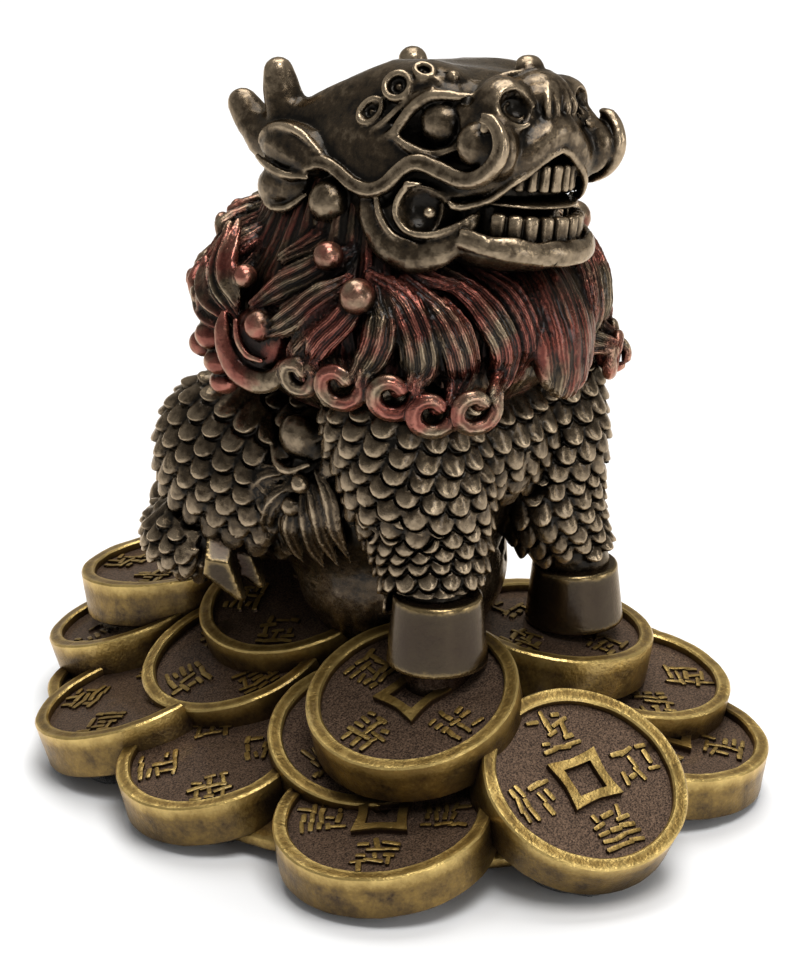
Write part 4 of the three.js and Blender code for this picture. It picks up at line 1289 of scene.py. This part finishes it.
def make_coins(sizes, material):
    """All the coins as one mesh, each made by the coin tree with its own seed."""
    tree, names = coin_tree(sizes, material)
    maker = new_object("coin_maker", bpy.data.meshes.new("coin_maker"))
    modifier = maker.modifiers.new("coin", "NODES")
    modifier.node_group = tree
    points, faces, wear, count = [], [], [], 0
    for number, coin in enumerate(COINS):
        x, y, z, radius, tilt, lean, boss, spin = coin
        modifier[names["Radius"]] = float(radius)
        modifier[names["With boss"]] = bool(boss)
        modifier[names["Seed"]] = number + 1
        maker.update_tag()
        bpy.context.view_layer.update()
        made = made_mesh(maker)
        places, polygons = read_mesh(made)
        bpy.data.meshes.remove(made)
        wear.append(coin_wear(places, radius, sizes))
        turn = coin_place(x, y, z, tilt, lean) @ Matrix.Rotation(math.radians(spin), 4, "Z")
        placed = places @ np.array(turn.to_3x3()).T + np.array(turn.translation)
        points.append(under_others(placed, coin) * MM)
        faces += [[v + count for v in face] for face in polygons]
        count += len(places)
    bpy.data.objects.remove(maker)
    mesh = bpy.data.meshes.new("coins")
    mesh.from_pydata(np.concatenate(points).tolist(), [], faces)
    worn = np.concatenate(wear).astype(np.float32)
    mesh.attributes.new("wear", "FLOAT", "POINT").data.foreach_set("value", worn)
    mesh.shade_smooth()
    mesh.set_sharp_from_angle(angle=math.radians(35))
    return mesh


def sculpt_mound(grain):
    """The heart of the pile, which shows dark between the coins."""
    clay = Clay((-38, -40, 1.3), (38, 43, 20), grain)

    def form(x, y, z):
        out = np.sqrt(x * x + ((y - 1) / 1.12) ** 2)
        height = np.interp(out.ravel(), [0, 15, 26, 33, 36], [16, 13, 7, 3, 1]).reshape(out.shape)
        return np.maximum((z - height) * 0.8, out - 33)

    clay.press((-36, -38, 0), (36, 41, 17), form)
    return clay


# The felt: its middle patch, half its thickness, how far it stays inside a coin's rim, and the
# height below which a coin counts as low
FELT_MIDDLE = 30.0
FELT_HALF = 0.55
FELT_INSET = 3
LOW_COIN = 13


def sculpt_felt(grain):
    """The felt under the pile: a patch where each low coin comes down, with a soft uneven edge."""
    clay = Clay((-42, -50, -1), (42, 52, 3), grain)
    rng = np.random.default_rng(5)
    patches = [(0.0, 0.0, FELT_MIDDLE)]
    for x, y, z, radius, tilt, lean, *_ in COINS:
        if z < LOW_COIN:
            raised = 0.5 * radius * math.sin(math.radians(tilt))
            shift = raised - 5.5 * math.sin(math.radians(tilt))
            lean = math.radians(lean)
            patches.append((0.98 * (x + shift * math.cos(lean)), 0.98 * (y + shift * math.sin(lean)),
                            radius - FELT_INSET - raised))
    waves = []
    for _ in range(14):
        way = rng.uniform(0.4, 1.6, 2) * rng.choice((-1, 1), 2)
        waves.append((way, rng.uniform(0, 6.28), rng.uniform(0.03, 0.14)))

    def form(x, y, z):
        edge = np.full(np.broadcast(x, y).shape, 99.0, np.float32)
        for px, py, r in patches:
            edge = np.minimum(edge, np.sqrt((x - px) ** 2 + (y - py) ** 2) - r)
        for (in_x, in_y), phase, size in waves:
            edge = edge + size * np.sin(in_x * x + in_y * y + phase)
        height = np.abs(z - FELT_HALF) - FELT_HALF
        return -weld(-edge, -height, 0.5)

    clay.press((-41, -49, -0.2), (41, 51, 1.4), form)
    return clay


# Finishes


class Shader:
    """A material under construction, with one Principled shader."""

    def __init__(self, name, **constants):
        self.material = bpy.data.materials.new(name)
        self.material.use_nodes = True
        self.nodes = self.material.node_tree.nodes
        self.links = self.material.node_tree.links
        self.skin = self.nodes["Principled BSDF"]
        for socket, value in constants.items():
            self.skin.inputs[socket.replace("_", " ")].default_value = value

    def node(self, kind, wires=None, **settings):
        node = self.nodes.new(kind)
        for name, value in settings.items():
            setattr(node, name, value)
        for name, value in (wires or {}).items():
            if isinstance(value, bpy.types.NodeSocket):
                self.links.new(value, node.inputs[name])
            else:
                node.inputs[name].default_value = value
        return node

    def math(self, operation, *values, clamp=False):
        made = self.node("ShaderNodeMath", dict(enumerate(values)), operation=operation, use_clamp=clamp)
        return made.outputs[0]

    def millimetres(self):
        place = self.node("ShaderNodeTexCoord").outputs["Object"]
        return self.node("ShaderNodeMapping", {"Vector": place, "Scale": (1000, 1000, 1000)}).outputs[0]

    def noise(self, place, scale, detail=3.0, rough=0.6):
        return self.node("ShaderNodeTexNoise", {"Vector": place, "Scale": scale, "Detail": detail,
                                                "Roughness": rough}).outputs[0]

    def ramp(self, value, stops):
        """Colours or greys along a value from 0 to 1."""
        node = self.node("ShaderNodeValToRGB", {"Fac": value})
        items = node.color_ramp.elements
        while len(items) < len(stops):
            items.new(0.5)
        for item, (place, colour) in zip(items, stops):
            item.position = place
            item.color = (*colour, 1) if len(colour) == 3 else colour
        return node.outputs[0]

    def mix(self, factor, first, second):
        node = self.node("ShaderNodeMix", data_type="RGBA")
        ends = [i for i in node.inputs if i.enabled]
        for socket, value in zip(ends, (factor, first, second)):
            self.links.new(value, socket)
        return live(node.outputs)

    def connect(self, socket, value):
        self.links.new(value, self.skin.inputs[socket])

    def bump(self, height, distance, strength=1.0):
        return self.node("ShaderNodeBump", {"Height": height, "Distance": distance,
                                            "Strength": strength}).outputs[0]


# How far ambient occlusion looks for the painted shade of a hollow, the share of clear coat, and where the
# dark, plain and rubbed colours stand between shaded and rubbed
SHADE_REACH = 3.5 * MM
COAT = 0.26
PATINA_STOPS = (0.04, 0.34, 0.88)


def cast_metal(name, colours, gloss=0.2, grit=1.0, mottle=0.3, hair=False, other=None, field=None):
    """Painted cast metal: dark patina in its hollows, darkened further by painted shade from ambient
    occlusion, which also thins the clear coat there, rubbed pale on its ridges, with a fine cast grain.
    Hair adds comb lines with a painted highlight along each fine ridge, other is a second set of colours in
    patches, and field colours a coin's sunk face."""
    s = Shader(name, Metallic=0.85, Coat_Roughness=0.14, Coat_Tint=(1, 0.88, 0.72, 1),
               Specular_Tint=(1, 0.86, 0.68, 1))
    place = s.millimetres()
    # The wear value: rubbing and patina, with painted shade in broad hollows and a painted highlight on the
    # coins' rim edges
    wear = s.node("ShaderNodeAttribute", attribute_name="wear").outputs["Fac"]
    blotch = s.noise(place, 0.35, 3.0, 0.65)
    speckle = s.noise(place, 2.2, 3.0, 0.75)
    # Painted shade: ambient occlusion darkens the colour in hollows, creases, under parts and where pieces
    # touch
    hidden = s.node("ShaderNodeAmbientOcclusion", {"Distance": SHADE_REACH}, samples=6)
    unshaded = s.math("POWER", hidden.outputs["AO"], 1.8)
    # Painted shade: the clear coat, and so its reflection, is thinned where ambient occlusion finds shade
    s.connect("Coat Weight", s.math("MULTIPLY", unshaded, COAT))
    varied = s.math("MULTIPLY_ADD", wear, 0.6, 0.14)
    varied = s.math("ADD", varied, s.math("MULTIPLY_ADD", blotch, mottle, -0.5 * mottle))
    varied = s.math("ADD", varied, s.math("MULTIPLY_ADD", speckle, 0.3, -0.15))
    grain = s.math("MULTIPLY_ADD", s.noise(place, 3.2, 4.0, 0.65), 0.5, s.noise(place, 0.8, 2.0))
    if hair:
        combed = s.node("ShaderNodeAttribute", attribute_name="comb").outputs["Fac"]
        wander = s.math("MULTIPLY_ADD", s.noise(place, 0.8, 2.0), 0.9, combed)
        wave = s.math("SINE", s.math("MULTIPLY", wander, 2 * math.pi))
        # Painted highlight: the colour is lightened along the ridge of each comb line, and a little all
        # over the hair
        varied = s.math("ADD", varied, s.math("MULTIPLY_ADD", wave, 0.14, 0.06))
        grain = s.math("MULTIPLY_ADD", wave, 0.7, grain)
    # The painted shade scales the rubbed colour down towards the dark stop of the ramp
    rubbed_and_unshaded = s.math("MULTIPLY", varied, s.math("MULTIPLY_ADD", unshaded, 0.9, 0.1), clamp=True)
    colour = s.ramp(rubbed_and_unshaded, list(zip(PATINA_STOPS, colours)))
    if other:
        second = s.ramp(rubbed_and_unshaded, list(zip(PATINA_STOPS, other)))
        patch = s.ramp(s.noise(place, 0.16, 3.0, 0.6), [(0.44, (0, 0, 0)), (0.6, (1, 1, 1))])
        colour = s.mix(patch, colour, second)
    rough = s.math("MULTIPLY_ADD", rubbed_and_unshaded, -0.14, gloss + 0.1)
    if field:
        sand = s.ramp(s.noise(place, 5.0, 2.0, 0.6), [(0.36, field[0]), (0.64, field[1])])
        sunk = s.math("MULTIPLY_ADD", wear, -3.0, -1.6, clamp=True)
        colour = s.mix(sunk, colour, sand)
        rough = s.math("MULTIPLY_ADD", sunk, 0.16, rough)
    s.connect("Base Color", colour)
    rough = s.math("MULTIPLY_ADD", speckle, 0.16, s.math("SUBTRACT", rough, 0.08), clamp=True)
    s.connect("Roughness", rough)
    s.connect("Normal", s.bump(grain, 0.08 * MM * grit, 0.8))
    return s.material


def colour_of(values):
    return tuple(values)[:3]


def felt_cloth(name, colour):
    s = Shader(name, Metallic=0.0, Roughness=1.0, Sheen_Weight=0.4, Sheen_Roughness=0.6)
    place = s.millimetres()
    fluff = s.noise(place, 5.0, 5.0, 0.75)
    shade = s.ramp(fluff, [(0.3, tuple(0.5 * c for c in colour)), (0.75, tuple(2.2 * c for c in colour))])
    s.connect("Base Color", shade)
    s.connect("Normal", s.bump(fluff, 0.5 * MM, 1.0))
    return s.material


# Settings


def amount(name, text, value):
    return FloatProperty(name=name, description=text, default=value, unit="NONE", min=0.0)


def watts(name, text, value):
    return FloatProperty(name=name, description=text, default=value, unit="POWER", min=0.0)


def tint(name, text, value):
    return FloatVectorProperty(name=name, description=text, default=value, size=3, subtype="COLOR",
                               min=0, max=1)


class CastingSettings(bpy.types.PropertyGroup):
    """Sizes of the sculpted casting, in millimetres."""

    grain: amount("Grain", "Cell of the sculpting grid, in millimetres", 0.22)
    rough_grain: amount("Rough grain", "Cell of the grid while trying things, in millimetres", 0.42)
    scale_width: amount("Scale width", "Width of a scale on the trunk, in millimetres", 3.1)
    small_scale: amount("Small scale", "Width of a scale low on the legs, in millimetres", 2.5)
    scale_lift: amount("Scale lift", "How far a scale's tip stands off the skin, in millimetres", 0.72)


class CoinSettings(bpy.types.PropertyGroup):
    """Sizes of a coin, in millimetres."""

    thickness: amount("Thickness", "Thickness of a coin, in millimetres", 5.5)
    rim: amount("Rim", "Width of the raised rim, in millimetres", 1.7)
    recess: amount("Recess", "Depth of the field below the rim, in millimetres", 1.0)
    boss: amount("Boss", "Width of the square boss, in millimetres", 5.6)
    hole: amount("Hole", "Width of the square hollow in the boss, in millimetres", 3.7)
    stroke_height: amount("Stroke height", "Height of the raised strokes, in millimetres", 0.9)


class FinishSettings(bpy.types.PropertyGroup):
    """Colours of the finishes."""

    # The dark colours are patina in the hollows and also the colour of the painted shade that ambient
    # occlusion adds there
    bronze_dark: tint("Bronze, sheltered", "Patina in the hollows", (0.006, 0.005, 0.004))
    bronze_middle: tint("Bronze", "Dark olive-brown patina", (0.060, 0.042, 0.024))
    bronze_worn: tint("Bronze, rubbed", "Rubbed ridges", (0.48, 0.38, 0.26))
    copper_dark: tint("Copper, sheltered", "Patina in the grooves of the hair", (0.008, 0.004, 0.004))
    copper_middle: tint("Copper", "Burgundy tint of the hair", (0.12, 0.028, 0.020))
    copper_worn: tint("Copper, rubbed", "Rubbed ridges of the hair", (0.46, 0.18, 0.135))
    brass_dark: tint("Brass, sheltered", "The feet of the coins' walls", (0.030, 0.018, 0.012))
    brass_middle: tint("Brass", "Aged brass of the coins' sides", (0.23, 0.15, 0.042))
    # The rubbed brass is also the painted highlight along the coins' rim edges
    brass_worn: tint("Brass, rubbed", "Rubbed edges of the coins", (0.74, 0.55, 0.20))
    field_dark: tint("Field, dark", "Dark grains of the coins' sunk faces", (0.024, 0.016, 0.013))
    field_light: tint("Field, light", "Light grains of the coins' sunk faces", (0.165, 0.108, 0.074))
    hoof_middle: tint("Hooves", "Polished hooves", (0.050, 0.037, 0.021))
    hoof_worn: tint("Hooves, rubbed", "Edges of the hooves", (0.54, 0.39, 0.17))
    felt: tint("Felt", "Black felt", (0.010, 0.010, 0.010))


class StageSettings(bpy.types.PropertyGroup):
    """Light and floor."""

    floor: tint("Floor", "Colour of the floor", (0.94, 0.94, 0.94))
    world: amount("Room light", "Strength of the light all round", 0.3)
    key: watts("Key light", "Power of the main light", 2.4)
    fill: watts("Fill light", "Power of each low light", 0.5)
    back: watts("Back light", "Power of the light over the floor behind", 7.0)


# Operators, one for each piece or group of like pieces


class QILIN_OT_head(bpy.types.Operator):
    """Sculpts the head with its horns, ears, teeth and whiskers"""

    bl_idname = "qilin.head"
    bl_label = "Head"

    def execute(self, context):
        clay = sculpt_head(grain_of(context.scene.qilin_casting))
        add_piece(clay.mesh("head", head_place()), finish("patina_bronze"))
        return {"FINISHED"}


class QILIN_OT_mane(bpy.types.Operator):
    """Sculpts the collar of curled locks and the beard"""

    bl_idname = "qilin.mane"
    bl_label = "Mane and beard"

    def execute(self, context):
        clay = sculpt_mane(grain_of(context.scene.qilin_casting))
        add_piece(clay.mesh("mane"), finish("patina_copper"))
        return {"FINISHED"}


class QILIN_OT_body(bpy.types.Operator):
    """Sculpts the scaled body with its legs and tail"""

    bl_idname = "qilin.body"
    bl_label = "Body"

    def execute(self, context):
        casting = context.scene.qilin_casting
        clay = sculpt_body(casting, grain_of(casting))
        add_piece(clay.mesh("body"), finish("patina_bronze"))
        return {"FINISHED"}


class QILIN_OT_hooves(bpy.types.Operator):
    """Makes the polished hooves"""

    bl_idname = "qilin.hooves"
    bl_label = "Hooves"

    def execute(self, context):
        clay = sculpt_hooves(grain_of(context.scene.qilin_casting))
        hooves = clay.mesh("hooves", most=60000, adaptivity=0.0)
        hooves.set_sharp_from_angle(angle=math.radians(28))
        add_piece(hooves, finish("polished_hoof"))
        return {"FINISHED"}


class QILIN_OT_coins(bpy.types.Operator):
    """Makes the pile of coins and its heart"""

    bl_idname = "qilin.coins"
    bl_label = "Coins"

    def execute(self, context):
        brass = finish("patina_brass")
        add_piece(make_coins(context.scene.qilin_coins, brass), brass)
        mound = sculpt_mound(2 * grain_of(context.scene.qilin_casting))
        add_piece(mound.mesh("pile_heart", most=20000), brass)
        return {"FINISHED"}


class QILIN_OT_felt(bpy.types.Operator):
    """Makes the felt under the pile"""

    bl_idname = "qilin.felt"
    bl_label = "Felt"

    def execute(self, context):
        clay = sculpt_felt(1.5 * grain_of(context.scene.qilin_casting))
        mesh = clay.mesh("felt_foot", most=60000)
        add_piece(mesh, finish("felt_cloth"), replaced=FELT)
        return {"FINISHED"}


def finish(name):
    """The named finish, made once from the colours of the settings."""
    if name in bpy.data.materials:
        return bpy.data.materials[name]
    c = bpy.context.scene.qilin_finish
    bronze = [colour_of(v) for v in (c.bronze_dark, c.bronze_middle, c.bronze_worn)]
    copper = [colour_of(v) for v in (c.copper_dark, c.copper_middle, c.copper_worn)]
    brass = [colour_of(v) for v in (c.brass_dark, c.brass_middle, c.brass_worn)]
    field = [colour_of(v) for v in (c.field_dark, c.field_light)]
    hoof = [colour_of(v) for v in (c.brass_dark, c.hoof_middle, c.hoof_worn)]
    makers = {
        "patina_bronze": lambda: cast_metal(name, bronze, hair=True),
        "patina_copper": lambda: cast_metal(name, copper, hair=True, other=bronze),
        "patina_brass": lambda: cast_metal(name, brass, gloss=0.3, grit=1.5, mottle=0.7, field=field),
        "polished_hoof": lambda: cast_metal(name, hoof, gloss=0.17, grit=0.8),
        "felt_cloth": lambda: felt_cloth(name, colour_of(c.felt)),
    }
    return makers[name]()


# Stage and camera

FLOOR_REACH = 6.0
CAMERA_PLACE = Vector((-303.116, -252.938, 188.347))
CAMERA_TARGET = Vector((-17.05, -12.9, 45.0))
FOCAL_PIXELS = 3552.0
MIDDLE_PIXEL = (397.5, 475.0)
SENSOR = 36.0


def add_camera():
    camera = bpy.data.cameras.new("camera")
    camera.sensor_fit = "AUTO"
    camera.sensor_width = SENSOR
    camera.lens = SENSOR * FOCAL_PIXELS / IMAGE_HEIGHT
    camera.shift_x = (IMAGE_WIDTH / 2 - MIDDLE_PIXEL[0]) / IMAGE_HEIGHT
    camera.shift_y = (MIDDLE_PIXEL[1] - IMAGE_HEIGHT / 2) / IMAGE_HEIGHT
    camera.clip_start = 0.01
    holder = new_object("camera", camera)
    offset = Vector(PILE_MIDDLE)
    holder.location = (CAMERA_PLACE - offset) * MM
    look = CAMERA_TARGET - CAMERA_PLACE
    holder.rotation_euler = look.to_track_quat("-Z", "Y").to_euler()
    bpy.context.scene.camera = holder


def add_light(name, place, size, power, target=(0, 0, 0.045)):
    light = bpy.data.lights.new(name, "AREA")
    light.shape = "RECTANGLE"
    light.size, light.size_y = size
    light.energy = power
    lamp = new_object(name, light)
    lamp.location = place
    lamp.rotation_euler = (Vector(target) - Vector(place)).to_track_quat("-Z", "Y").to_euler()


class QILIN_OT_stage(bpy.types.Operator):
    """Adds the floor, the lights and the camera"""

    bl_idname = "qilin.stage"
    bl_label = "Stage"

    def execute(self, context):
        stage = context.scene.qilin_stage
        add_camera()
        paint = Shader("floor", Roughness=0.9)
        paint.skin.inputs["Base Color"].default_value = (*colour_of(stage.floor), 1)
        mesh = bpy.data.meshes.new("floor")
        corners = [(x * FLOOR_REACH, y * FLOOR_REACH, 0) for x, y in ((-1, -1), (1, -1), (1, 1), (-1, 1))]
        mesh.from_pydata(corners, [], [(0, 1, 2, 3)])
        mesh.materials.append(paint.material)
        new_object("floor", mesh)
        world = bpy.data.worlds.new("room")
        world.use_nodes = True
        back = world.node_tree.nodes["Background"]
        back.inputs["Color"].default_value = (1, 1, 1, 1)
        back.inputs["Strength"].default_value = stage.world
        context.scene.world = world
        add_light("key", (-0.12, -0.22, 0.62), (0.3, 0.3), stage.key)
        add_light("fill", (-0.22, -0.56, 0.16), (0.12, 0.28), stage.fill)
        add_light("side", (0.28, -0.53, 0.16), (0.12, 0.28), stage.fill)
        add_light("back", (0.32, 0.27, 0.9), (0.7, 0.7), stage.back, target=(0.3, 0.25, 0))
        context.scene.view_settings.view_transform = "Standard"
        return {"FINISHED"}


class QILIN_PT_panel(bpy.types.Panel):
    """Lists the steps that build the figurine"""

    bl_label = "Qilin"
    bl_idname = "QILIN_PT_panel"
    bl_space_type = "VIEW_3D"
    bl_region_type = "UI"
    bl_category = "Qilin"

    def draw(self, context):
        for step in STEPS:
            self.layout.operator(step.bl_idname)
        for group in ("qilin_casting", "qilin_coins", "qilin_finish", "qilin_stage"):
            settings = getattr(context.scene, group)
            for name in settings.__annotations__:
                self.layout.prop(settings, name)


STEPS = (QILIN_OT_stage, QILIN_OT_coins, QILIN_OT_felt, QILIN_OT_body, QILIN_OT_hooves, QILIN_OT_mane,
         QILIN_OT_head)
GROUPS = {
    "qilin_casting": CastingSettings,
    "qilin_coins": CoinSettings,
    "qilin_finish": FinishSettings,
    "qilin_stage": StageSettings,
}


def register():
    for cls in (*GROUPS.values(), *STEPS, QILIN_PT_panel):
        bpy.utils.register_class(cls)
    for name, group in GROUPS.items():
        setattr(bpy.types.Scene, name, PointerProperty(type=group))


def unregister():
    for name in GROUPS:
        delattr(bpy.types.Scene, name)
    for cls in (QILIN_PT_panel, *reversed(STEPS), *reversed(list(GROUPS.values()))):
        bpy.utils.unregister_class(cls)


def main():
    register()
    for step in STEPS:
        group, name = step.bl_idname.split(".")
        getattr(getattr(bpy.ops, group), name)()


if __name__ == "__main__":
    main()
